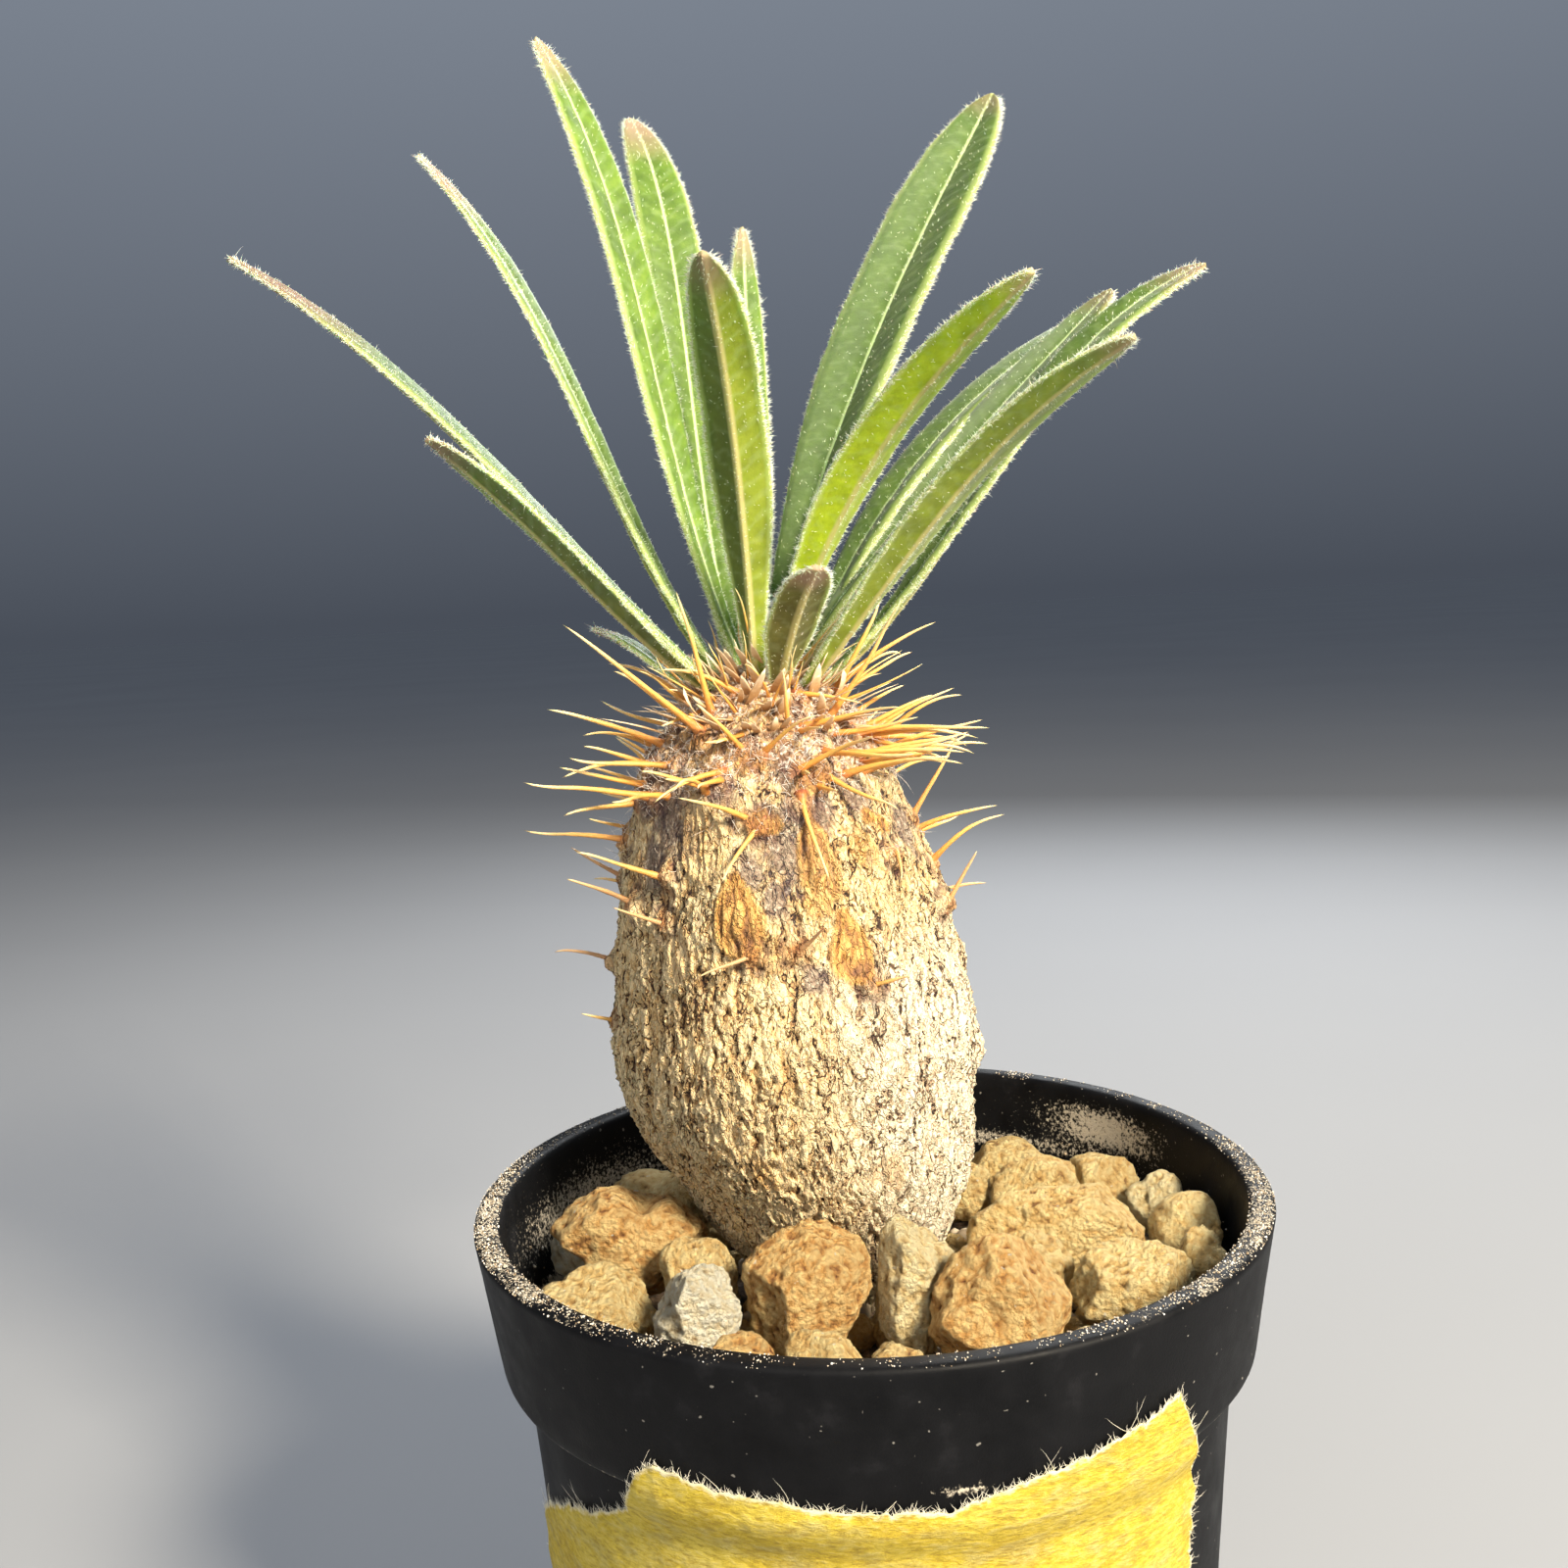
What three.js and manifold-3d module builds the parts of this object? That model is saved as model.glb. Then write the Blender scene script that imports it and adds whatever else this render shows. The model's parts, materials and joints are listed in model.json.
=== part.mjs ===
// Potted Pachypodium gracilius: a small barrel-stemmed seedling in a black plastic nursery pot.
// Millimetres, +Z up. The origin is the centre of the pot's underside.
// The viewer's side is -Y, and -X is the left of the picture.
import * as THREE from 'three';
import { mergeVertices } from 'three/addons/utils/BufferGeometryUtils.js';
import Module from 'manifold-3d';

const wasm = await Module();
wasm.setup();
const { Manifold, Mesh } = wasm;

// Pot
const POT_HEIGHT = 64;
const RIM_RADIUS = 37.5;
const RIM_WIDTH = 2.46;
const COLLAR_DEPTH = 13.2;
const COLLAR_FOOT_RADIUS = 35.55;
const WALL_TOP_RADIUS = 33.5;
const WALL_FOOT_RADIUS = 29.8;
const BASE_THICKNESS = 2.2;
const POT_SEGMENTS = 52;
const DRAIN_SLOTS = 8;
const DRAIN_RADIUS = 20.5;
const CLEARANCE = 0.35;

// Paper tape label
const TAPE_GAP = 0.3;
const TAPE_THICKNESS = 0.3;
const TAPE_COLUMNS = 38;
const TAPE_ROWS = 2;

// Fill
const SOIL_TOP = 51.8;

// Stem: height, offset of its middle in X and in Y, radius
const STEM = [
  [48.0, -2.0, 4.4, 2.6],
  [50.0, -2.2, 4.5, 5.6],
  [54.0, -2.6, 4.6, 8.9],
  [58.8, -3.3, 4.7, 11.6],
  [63.7, -3.9, 4.8, 14.0],
  [67.0, -5.1, 4.8, 15.6],
  [70.2, -5.9, 4.9, 16.7],
  [73.5, -6.2, 4.9, 17.2],
  [77.9, -6.5, 5.0, 17.6],
  [81.8, -6.6, 5.0, 17.2],
  [86.4, -7.0, 5.1, 16.4],
  [90.5, -7.1, 5.1, 15.8],
  [94.5, -7.6, 5.2, 14.8],
  [98.3, -8.0, 5.2, 13.9],
  [102.4, -8.4, 5.3, 12.7],
  [105.0, -8.3, 5.3, 11.8],
  [108.1, -8.2, 5.4, 9.6],
  [111.0, -8.0, 5.4, 6.6],
  [113.0, -8.0, 5.4, 4.0],
  [114.0, -8.0, 5.4, 1.6],
];
const STEM_SEGMENTS = 45;
const STEM_ROW = 1.9;
const RIDGES = 15;
const RIDGE_RISE = 0.3;

// Spines
const SPINE_RADIUS = 0.38;
const SPINE_SINK = 1.7;

// Leaves
const CROWN = new THREE.Vector3(-8, 5.4, 0);
const LEAF_THICKNESS = 0.95;
const LEAF_EDGE_THICKNESS = 0.6;
const LEAF_ROWS = 15;
const LEAF_GAP = 0.3;

// A repeatable random draw
function draw(seed) {
  let state = seed >>> 0;
  return () => {
    state = (state + 0x6d2b79f5) >>> 0;
    let t = state;
    t = Math.imul(t ^ (t >>> 15), t | 1);
    t ^= t + Math.imul(t ^ (t >>> 7), t | 61);
    return ((t ^ (t >>> 14)) >>> 0) / 4294967296;
  };
}

const rad = (deg) => (deg * Math.PI) / 180;
const smooth = (x) => {
  const t = Math.min(1, Math.max(0, x));
  return t * t * (3 - 2 * t);
};

// Value at a place in rows of place and value
function readRows(rows, at) {
  for (let i = 1; i < rows.length; i += 1) {
    const [a0, v0] = rows[i - 1];
    const [a1, v1] = rows[i];
    if (at <= a1) {
      return v0 + ((v1 - v0) * (at - a0)) / (a1 - a0);
    }
  }
  return rows[rows.length - 1][1];
}

// A closed geometry turned into a solid for adding and cutting
function toSolid(geometry) {
  const plain = geometry.clone();
  plain.deleteAttribute('normal');
  plain.deleteAttribute('uv');
  const welded = mergeVertices(plain, 1e-5);
  const vertProperties = new Float32Array(welded.attributes.position.array);
  const triVerts = new Uint32Array(welded.index.array);
  return new Manifold(new Mesh({ numProp: 3, vertProperties, triVerts }));
}

function toGeometry(solid) {
  const mesh = solid.getMesh();
  const geometry = new THREE.BufferGeometry();
  geometry.setAttribute('position', new THREE.BufferAttribute(mesh.vertProperties, 3));
  geometry.setIndex(new THREE.BufferAttribute(mesh.triVerts, 1));
  return geometry;
}

// Rings of points joined into one closed skin, with a fan at each end; an apex makes the last fan a point
function skin(rings, apex = null) {
  const n = rings[0].length;
  const positions = rings.flat().flatMap((p) => [p.x, p.y, p.z]);
  const index = [];
  for (let i = 0; i < rings.length - 1; i += 1) {
    for (let j = 0; j < n; j += 1) {
      const a = i * n + j;
      const b = i * n + ((j + 1) % n);
      index.push(a, b, b + n, a, b + n, a + n);
    }
  }
  const ends = [[0, false], [rings.length - 1, true]];
  for (const [row, up] of ends) {
    const middle = new THREE.Vector3();
    rings[row].forEach((p) => middle.addScaledVector(p, 1 / n));
    if (up && apex) {
      middle.copy(apex);
    }
    const hub = positions.length / 3;
    positions.push(middle.x, middle.y, middle.z);
    for (let j = 0; j < n; j += 1) {
      const a = row * n + j;
      const b = row * n + ((j + 1) % n);
      index.push(...(up ? [a, b, hub] : [b, a, hub]));
    }
  }
  const geometry = new THREE.BufferGeometry();
  geometry.setAttribute('position', new THREE.Float32BufferAttribute(positions, 3));
  geometry.setIndex(index);
  return geometry;
}

// A profile of radius and height turned about the Z axis
function turned(profile, segments) {
  const points = profile.map(([r, z]) => new THREE.Vector2(r, z));
  return new THREE.LatheGeometry(points, segments).rotateX(Math.PI / 2);
}

// Outer radius of the pot at a height
function potOuter(z) {
  const step = POT_HEIGHT - COLLAR_DEPTH;
  if (z > step) {
    return COLLAR_FOOT_RADIUS + ((RIM_RADIUS - COLLAR_FOOT_RADIUS) * (z - step)) / COLLAR_DEPTH;
  }
  return WALL_FOOT_RADIUS + ((WALL_TOP_RADIUS - WALL_FOOT_RADIUS) * z) / step;
}

// Inner radius of the pot at a height
function potInner(z) {
  return readRows([[2, 28.0], [50.2, 31.8], [51.6, 33.9], [58, 34.6], [64, 35.04]], z);
}

// The pot: tapered wall, flared collar with a sharp underside step, rounded rim and drain slots
function pot() {
  const step = POT_HEIGHT - COLLAR_DEPTH;
  const profile = [
    [0, 0],
    [28.9, 0],
    [29.6, 0.4],
    [potOuter(1.3), 1.3],
    [potOuter(26), 26],
    [WALL_TOP_RADIUS, step],
    [COLLAR_FOOT_RADIUS - 0.2, step],
    [COLLAR_FOOT_RADIUS, step + 0.3],
    [RIM_RADIUS - 0.05, POT_HEIGHT - 0.6],
    [RIM_RADIUS - 0.2, POT_HEIGHT - 0.2],
    [RIM_RADIUS - 0.6, POT_HEIGHT],
    [RIM_RADIUS - RIM_WIDTH + 0.5, POT_HEIGHT],
    [RIM_RADIUS - RIM_WIDTH, POT_HEIGHT - 0.5],
    [potInner(58), 58],
    [potInner(51.6), 51.6],
    [potInner(50.2), 50.2],
    [28.0, BASE_THICKNESS],
    [0, BASE_THICKNESS],
  ];
  let solid = toSolid(turned(profile, POT_SEGMENTS));
  const slot = toSolid(new THREE.BoxGeometry(8, 3.4, 8));
  const slots = [];
  for (let i = 0; i < DRAIN_SLOTS; i += 1) {
    const angle = (i * 360) / DRAIN_SLOTS + 22.5;
    slots.push(slot.translate([DRAIN_RADIUS, 0, 0]).rotate([0, 0, angle]));
  }
  solid = solid.subtract(Manifold.union(slots));
  return toGeometry(solid);
}

// Stem centre and radius at a height, by straight steps between the rows of STEM
function stemRow(z) {
  let i = 1;
  while (i < STEM.length - 1 && STEM[i][0] < z) {
    i += 1;
  }
  const a = STEM[i - 1];
  const b = STEM[i];
  const t = Math.min(1, Math.max(0, (z - a[0]) / (b[0] - a[0])));
  return [1, 2, 3].map((k) => a[k] + (b[k] - a[k]) * t);
}

// Knobs of the stem: bearing, height, rise
const KNOBS = [
  [-8, 76, 1.0],
  [4, 85, 0.8],
  [-12, 91, 0.9],
  [-40, 95, 0.8],
  [-62, 86, 0.6],
  [-98, 92, 0.7],
  [-128, 96, 0.9],
  [-146, 92, 0.8],
  [-172, 86, 0.8],
  [-170, 97, 0.8],
  [30, 90, 0.8],
  [62, 84, 0.7],
  [95, 92, 0.8],
  [128, 87, 0.7],
  [150, 95, 0.9],
  [-75, 101, 0.9],
  [-105, 103, 0.9],
  [-20, 103, 0.9],
  [20, 99, 0.9],
  [78, 102, 0.9],
  [120, 101, 0.8],
];

// Radius of the stem at a height and a bearing: barrel, slow waves, bark ridges and knobs
function stemRadius(z, bearing) {
  const base = stemRow(z)[2];
  const a = rad(bearing);
  const fade = smooth((z - 50) / 8) * smooth((112 - z) / 8);
  let r = base + 0.28 * fade * Math.sin(3 * a + 0.055 * z + 1.1);
  r += 0.2 * fade * Math.sin(7 * a - 0.05 * z + 0.4);
  r += 0.16 * fade * Math.sin(0.42 * z + 2 * Math.sin(2 * a));
  r += RIDGE_RISE * fade * Math.sin(RIDGES * a + 2 * Math.sin(0.16 * z + a));
  for (const [at, height, rise] of KNOBS) {
    const turn = ((bearing - at + 540) % 360) - 180;
    const across = (rad(turn) * base) / 2.3;
    const along = (z - height) / 1.9;
    r += rise * Math.exp(-across * across - along * along);
  }
  return r;
}

function stemPoint(z, bearing, out) {
  const [x, y] = stemRow(z);
  const r = stemRadius(z, bearing) + out;
  return new THREE.Vector3(x + r * Math.cos(rad(bearing)), y + r * Math.sin(rad(bearing)), z);
}

// The stem alone, grown outwards by a distance
function stemBody(grow) {
  const low = STEM[0][0];
  const high = STEM[STEM.length - 1][0];
  const count = Math.round((high - low) / STEM_ROW);
  const rings = [];
  for (let i = 0; i <= count; i += 1) {
    const z = low + ((high - low) * i) / count;
    const lift = i === 0 ? -grow : i === count ? grow : 0;
    const ring = [];
    for (let j = 0; j < STEM_SEGMENTS; j += 1) {
      const p = stemPoint(z, (360 * j) / STEM_SEGMENTS, grow * 1.05);
      p.z += lift;
      ring.push(p);
    }
    rings.push(ring);
  }
  return skin(rings);
}

// Spines of the viewer's side: height, bearing, length, swing from straight out, lift
const SPINES = [
  [109.6, -123, 11.8, -12, 72],
  [106.7, -98, 6.6, -40, 42],
  [108.0, -122, 15.5, -30, 40],
  [110.5, -168, 8.6, -4, 28],
  [111.3, -112, 7.6, -48, 22],
  [109.2, 172, 8.0, 6, 38],
  [106.9, -150, 11.4, -10, 23],
  [106.2, -178, 6.8, 6, 14],
  [105.2, -134, 9.8, -22, 8],
  [104.9, -154, 8.2, -4, -3],
  [102.3, -142, 12.2, -16, 9],
  [101.6, -156, 7.6, 4, -2],
  [104.5, -106, 6.8, -38, -14],
  [100.5, -94, 7.8, -46, 22],
  [100.0, -90, 6.8, -36, -36],
  [97.8, -166, 9.4, -6, 7],
  [98.6, -176, 4.0, 12, 18],
  [95.4, -130, 9.0, -22, 24],
  [93.6, -178, 6.0, 8, 34],
  [92.4, -148, 6.8, -14, 27],
  [91.2, -132, 5.2, -18, 24],
  [85.9, -172, 5.6, -4, 16],
  [80.4, -168, 3.4, -6, 15],
  [88.9, -98, 5.4, -50, -10],
  [108.4, -73, 6.0, -18, 62],
  [108.9, -42, 12.8, 18, 55],
  [110.6, -12, 11.2, 10, 60],
  [110.8, -54, 5.6, 30, -8],
  [108.6, 8, 5.4, 12, 26],
  [108.2, -62, 9.2, 36, 10],
  [107.4, -10, 7.2, 16, 24],
  [107.0, -28, 12.4, 20, 1],
  [105.6, 6, 8.4, -8, 30],
  [105.0, -6, 9.8, 12, 14],
  [105.4, -42, 10.4, 26, 0],
  [98.6, -4, 8.6, 8, 58],
  [106.2, -16, 8.4, -12, -12],
  [106.2, -86, 7.0, 44, 30],
  [104.4, -72, 9.4, 38, 20],
  [104.3, -60, 8.2, 32, -22],
  [94.0, -6, 8.0, 4, 33],
  [90.4, -14, 5.8, 16, 58],
  [101.8, -72, 7.6, 12, -58],
  [96.0, -38, 4.0, -46, -26],
  [89.2, -84, 4.8, 40, 36],
  [85.8, -62, 3.8, 36, 16],
];

// Spines of the far side: paired, thinning out down the stem
function farSpines() {
  const rnd = draw(41);
  const list = [];
  for (let i = 0; i < 21; i += 1) {
    const z = 110.6 - 26 * Math.pow(i / 21, 1.25);
    const bearing = 14 + 150 * ((i * 0.618) % 1);
    const length = 10.5 - 5.5 * (i / 21) + 2.5 * (rnd() - 0.5);
    const lift = 34 - 1.2 * i + 16 * (rnd() - 0.5);
    list.push([z, bearing - 5, length, -22 + 10 * rnd(), lift]);
    list.push([z - 0.5, bearing + 5, length * (0.75 + 0.3 * rnd()), 22 - 10 * rnd(), lift - 10]);
  }
  return list.filter(([z, bearing]) => z > 84 && bearing < 166);
}

// One spine: four-sided, tapered to a point, slightly bowed, rooted well inside the stem
function spine([z, bearing, length, swing, lift]) {
  const out = rad(bearing + swing);
  const up = rad(lift);
  const dir = new THREE.Vector3(
    Math.cos(up) * Math.cos(out),
    Math.cos(up) * Math.sin(out),
    Math.sin(up),
  );
  const foot = stemPoint(z, bearing, 0);
  const root = foot.clone().addScaledVector(dir, -SPINE_SINK);
  const tip = foot.clone().addScaledVector(dir, length);
  const middle = foot.clone().lerp(tip, 0.5);
  middle.z += 0.035 * length;
  const side = new THREE.Vector3(-Math.sin(out), Math.cos(out), 0);
  const over = dir.clone().cross(side);
  const ring = (p, size) => [0, 90, 180, 270].map((deg) => {
    const q = p.clone().addScaledVector(side, size * Math.cos(rad(deg)));
    return q.addScaledVector(over, size * Math.sin(rad(deg)));
  });
  const rings = [ring(root, SPINE_RADIUS * 1.1), ring(middle, SPINE_RADIUS * 0.66)];
  return toSolid(skin(rings, tip));
}

// Leaves: name, bearing, elevation at foot, middle and tip, length, foot distance, foot height,
// width, twist
const LEAVES = [
  ['leaf_01', 184, 44, 48, 31, 61.5, 3.6, 110.8, 6.6, -4],
  ['leaf_02', 208, 36, 46, 35, 36.3, 4.0, 110.7, 5.6, 6],
  ['leaf_03', 173, 54, 68, 46, 59.6, 3.0, 111.4, 6.2, 4],
  ['leaf_04', 152, 64, 78, 56, 67.8, 1.5, 111.9, 6.8, -12],
  ['leaf_05', 114, 47, 78.5, 35, 70.2, 4.2, 110.6, 7.4, 0],
  ['leaf_06', 264, 88, 70, 30, 42.4, 3.6, 111.0, 5.7, -6],
  ['leaf_07', 84, 88, 91, 88, 42.6, 1.6, 112.2, 3.4, 40],
  ['leaf_08', 38, 74, 60, 52, 67.8, 0.4, 112.0, 9.6, 28],
  ['leaf_09', 318, 74, 46, 26, 46.6, 2.0, 111.6, 7.0, 0],
  ['leaf_10', 18, 56, 45, 41, 51.9, 2.4, 111.6, 7.6, 18],
  ['leaf_11', 6, 34, 53, 18, 56.8, 4.0, 110.5, 6.2, 30],
  ['leaf_12', 326, 46, 43, 19, 45.9, 3.9, 110.4, 6.8, -6],
  ['leaf_13', 33, 68, 43, 22, 57.5, 3.9, 110.6, 7.4, 0],
  ['leaf_14', 292, 59, 45, 26, 17.3, 3.6, 110.6, 5.0, 0],
  ['leaf_15', 152, 26, 34, 12, 17.0, 5.0, 109.6, 3.2, 10],
];

// Cross-section of a blade: share of the half width, and which face
const LEAF_SECTION = [
  [1, 0], [0.5, 1], [0, 1], [-0.5, 1],
  [-1, 0], [-0.5, -1], [0, -1], [0.5, -1],
];

// Width of a blade along its length, as a share of its widest
function leafOutline(s) {
  const foot = 0.3 + 0.7 * smooth(s / 0.52);
  const end = Math.max(0, (s - 0.7) / 0.3);
  return foot * Math.sqrt(Math.max(0.012, 1 - Math.pow(end, 2.4)));
}

// One leaf: a long blade, slightly folded along its midrib, bent in its own upright plane
function leafBody(leaf, grow) {
  const [, bearing, foot, middle, tip, length, away, height, width, twist] = leaf;
  const out = new THREE.Vector3(Math.cos(rad(bearing)), Math.sin(rad(bearing)), 0);
  const p = CROWN.clone().addScaledVector(out, away);
  p.z = height;
  const rings = [];
  const steps = LEAF_ROWS * 4;
  for (let i = 0; i <= steps; i += 1) {
    const s = i / steps;
    const bend = foot * (1 - s) * (1 - 2 * s) + 4 * middle * s * (1 - s) + tip * s * (2 * s - 1);
    const along = out.clone().multiplyScalar(Math.cos(rad(bend)));
    along.z = Math.sin(rad(bend));
    if (i > 0) {
      p.addScaledVector(along, length / steps);
    }
    if (i % 4 === 0) {
      const side = new THREE.Vector3(-out.y, out.x, 0);
      side.applyAxisAngle(along, rad(twist * s));
      const face = side.clone().cross(along).multiplyScalar(-1);
      const half = (width / 2) * leafOutline(s) + grow;
      const thin = LEAF_THICKNESS * (1 - 0.35 * s);
      const ring = [];
      for (const [u, layer] of LEAF_SECTION) {
        const fold = 0.26 * (Math.abs(u) - 0.5) * half * smooth(s / 0.15) * (1 - 0.4 * s);
        const edge = Math.max(LEAF_EDGE_THICKNESS, thin * (1 - 0.3 * Math.abs(u)));
        const q = p.clone().addScaledVector(side, half * u);
        q.addScaledVector(face, fold + layer * (edge / 2 + grow));
        ring.push(q);
      }
      rings.push(i === 0 ? ring.map((q) => q.addScaledVector(along, -grow)) : ring);
    }
  }
  return skin(rings);
}

// The largest of the separate pieces of a solid
function largest(solid) {
  const pieces = solid.decompose();
  pieces.sort((a, b) => b.volume() - a.volume());
  return pieces[0];
}

// Stones: middle X, Y, Z, half length, half depth, half height, turn, seed, fineness
const STONES = [
  [-22.4, -2.2, 59.8, 8.4, 5.0, 5.6, 4, 1, 2],
  [-19.4, 8.6, 58.4, 3.8, 3.8, 3.8, -20, 2, 1],
  [-25.0, -13.6, 57.4, 6.1, 5.0, 4.6, 25, 3, 2],
  [-15.2, -17.2, 59.0, 3.9, 4.0, 4.9, 10, 4, 2],
  [-16.0, -8.6, 58.6, 3.8, 4.0, 4.4, 0, 5, 1],
  [-5.8, -14.2, 59.6, 6.1, 5.4, 6.3, 15, 6, 2],
  [3.5, -13.0, 59.2, 3.8, 4.6, 6.6, 8, 7, 2],
  [10.6, -17.6, 59.0, 6.9, 5.6, 6.2, -12, 8, 2],
  [15.4, -6.6, 57.2, 3.2, 3.4, 3.6, 20, 9, 1],
  [19.0, 1.6, 58.0, 9.6, 4.2, 4.6, 4, 10, 2],
  [23.2, -11.4, 57.4, 6.2, 4.8, 4.4, 10, 11, 2],
  [30.4, -6.0, 57.2, 2.6, 3.4, 3.6, 0, 12, 1],
  [31.0, 2.0, 57.0, 4.0, 4.2, 3.6, 30, 13, 1],
  [17.6, 14.2, 57.0, 5.4, 4.4, 3.8, 18, 14, 2],
  [24.8, 15.4, 56.6, 4.6, 4.2, 3.6, -35, 15, 1],
  [29.4, 10.0, 56.6, 3.2, 3.2, 3.6, 0, 16, 1],
  [-11.2, -24.6, 57.4, 3.6, 4.0, 3.4, 0, 17, 1],
  [-4.4, -25.2, 57.6, 3.6, 4.2, 3.6, 0, 18, 1],
  [1.6, -25.4, 56.8, 3.0, 4.0, 3.2, 0, 19, 1],
  [-24.4, 18.0, 55.6, 4.4, 4.2, 3.2, 40, 20, 1],
  [-18.4, -23.0, 56.0, 4.2, 3.8, 3.4, 30, 21, 1],
  [9.0, -27.0, 55.6, 4.2, 3.8, 3.0, 0, 22, 1],
  [18.6, -22.4, 55.8, 4.2, 4.4, 3.4, 0, 23, 1],
  [28.0, -16.6, 55.8, 3.8, 3.6, 3.2, 0, 24, 1],
  [-30.4, 8.2, 54.8, 3.0, 4.6, 2.6, 0, 25, 1],
  [10.2, 15.6, 56.4, 3.2, 3.0, 3.2, 20, 26, 1],
  [-14.2, 21.0, 56.8, 5.4, 4.8, 4.0, -25, 27, 2],
  [-4.2, 25.6, 56.2, 5.2, 4.6, 3.6, 10, 28, 1],
  [6.0, 24.0, 55.8, 4.6, 4.4, 3.2, 40, 29, 1],
  [15.4, 24.4, 55.6, 4.6, 4.4, 3.0, -10, 30, 1],
];
const STONE_GAP = 0.3;

// A lump: a sphere pushed in and out by broad waves, flattened on a few seeded sides
function lump([x, y, z, rx, ry, rz, turn, seed, fine]) {
  const rnd = draw(seed * 977 + 5);
  const raw = new THREE.IcosahedronGeometry(1, fine);
  raw.deleteAttribute('uv');
  raw.deleteAttribute('normal');
  const ball = mergeVertices(raw);
  const flats = [];
  for (let i = 0; i < 7; i += 1) {
    const tall = 2 * rnd() - 1;
    const around = 2 * Math.PI * rnd();
    const flat = Math.sqrt(1 - tall * tall);
    const n = new THREE.Vector3(flat * Math.cos(around), flat * Math.sin(around), tall);
    flats.push([n, 0.8 + 0.14 * rnd()]);
  }
  const phase = [rnd() * 6, rnd() * 6, rnd() * 6];
  const spots = ball.attributes.position;
  const points = [];
  for (let i = 0; i < spots.count; i += 1) {
    const p = new THREE.Vector3().fromBufferAttribute(spots, i).normalize();
    const wave = 0.06 * Math.sin(3.1 * p.x + phase[0]) * Math.sin(2.7 * p.y + phase[1])
      + 0.05 * Math.sin(4.3 * p.z + phase[2] + 2 * p.x);
    let size = 1.02 + wave;
    for (const [n, reach] of flats) {
      const lean = p.dot(n);
      if (lean > 0.2) {
        size = Math.min(size, reach / lean);
      }
    }
    p.multiplyScalar(size);
    p.set(p.x * rx, p.y * ry, p.z * rz).applyAxisAngle(new THREE.Vector3(0, 0, 1), rad(turn));
    points.push(p.add(new THREE.Vector3(x, y, z)));
  }
  return { middle: new THREE.Vector3(x, y, z), points, index: Array.from(ball.index.array) };
}

// Pull every point of a lump that lies past a plane back towards its middle
function press(stone, normal, limit) {
  const own = stone.middle.dot(normal);
  for (const p of stone.points) {
    const far = p.dot(normal);
    if (far > limit) {
      p.sub(stone.middle).multiplyScalar((limit - own) / (far - own)).add(stone.middle);
    }
  }
}

function reach(points, normal) {
  return points.reduce((most, p) => Math.max(most, p.dot(normal)), -Infinity);
}

// The stones, pressed flat where they meet each other, the wall, the fill and the stem
function stones(stemPoints) {
  const all = STONES.map(lump);
  const down = new THREE.Vector3(0, 0, -1);
  for (const stone of all) {
    press(stone, down, -(SOIL_TOP + 0.9));
    for (let deg = 0; deg < 360; deg += 4) {
      const n = new THREE.Vector3(Math.cos(rad(deg)), Math.sin(rad(deg)), 0);
      const low = potInner(Math.min(...stone.points.map((p) => p.z)));
      press(stone, n, low * 0.998 - CLEARANCE);
    }
    let best = null;
    const [sx, sy] = stemRow(stone.middle.z);
    const flat = new THREE.Vector3(stone.middle.x - sx, stone.middle.y - sy, 0).normalize();
    for (let swing = -20; swing <= 20; swing += 5) {
      for (let tip = -60; tip <= 10; tip += 5) {
        const n = flat.clone().applyAxisAngle(new THREE.Vector3(0, 0, 1), rad(swing));
        n.multiplyScalar(Math.cos(rad(tip)));
        n.z = Math.sin(rad(tip));
        const free = stone.middle.dot(n) - reach(stemPoints, n);
        if (best === null || free > best.free) {
          best = { n, free };
        }
      }
    }
    const back = best.n.clone().negate();
    press(stone, back, stone.middle.dot(back) + best.free - STONE_GAP);
  }
  for (let i = 0; i < all.length; i += 1) {
    for (let j = i + 1; j < all.length; j += 1) {
      const n = all[j].middle.clone().sub(all[i].middle);
      const apart = n.length();
      n.normalize();
      const mine = reach(all[i].points, n) - all[i].middle.dot(n);
      const back = n.clone().negate();
      const theirs = reach(all[j].points, back) - all[j].middle.dot(back);
      if (mine + theirs + STONE_GAP > apart) {
        const split = all[i].middle.dot(n) + (apart * mine) / (mine + theirs);
        press(all[i], n, split - STONE_GAP / 2);
        press(all[j], back, -split - STONE_GAP / 2);
      }
    }
  }
  return all;
}

function stoneGeometry(stone) {
  const geometry = new THREE.BufferGeometry();
  const flat = stone.points.flatMap((p) => [p.x, p.y, p.z]);
  geometry.setAttribute('position', new THREE.Float32BufferAttribute(flat, 3));
  geometry.setIndex(stone.index);
  return geometry;
}

// The fill: one closed bulk under the stones, hollowed where the stem stands in it
function soil() {
  const rows = [[0, BASE_THICKNESS + CLEARANCE], [potInner(3) - 0.6, BASE_THICKNESS + CLEARANCE]];
  rows.push([potInner(26) - CLEARANCE - 0.1, 26]);
  rows.push([potInner(49.6) - CLEARANCE - 0.1, 49.6]);
  rows.push([31.2, 50.8]);
  for (const r of [27, 22, 17, 12]) {
    rows.push([r, SOIL_TOP]);
  }
  rows.push([0, SOIL_TOP]);
  const geometry = turned(rows, 32);
  const spots = geometry.attributes.position;
  for (let i = 0; i < spots.count; i += 1) {
    const x = spots.getX(i);
    const y = spots.getY(i);
    if (spots.getZ(i) > SOIL_TOP - 0.1 && Math.hypot(x, y) > 1) {
      const wave = Math.sin(0.9 * x + 1) * Math.sin(0.8 * y + 2) + 0.6 * Math.sin(1.7 * x - 1.3 * y);
      spots.setZ(i, SOIL_TOP + 0.3 * wave);
    }
  }
  return toGeometry(toSolid(geometry).subtract(toSolid(stemBody(0.35))));
}

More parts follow.
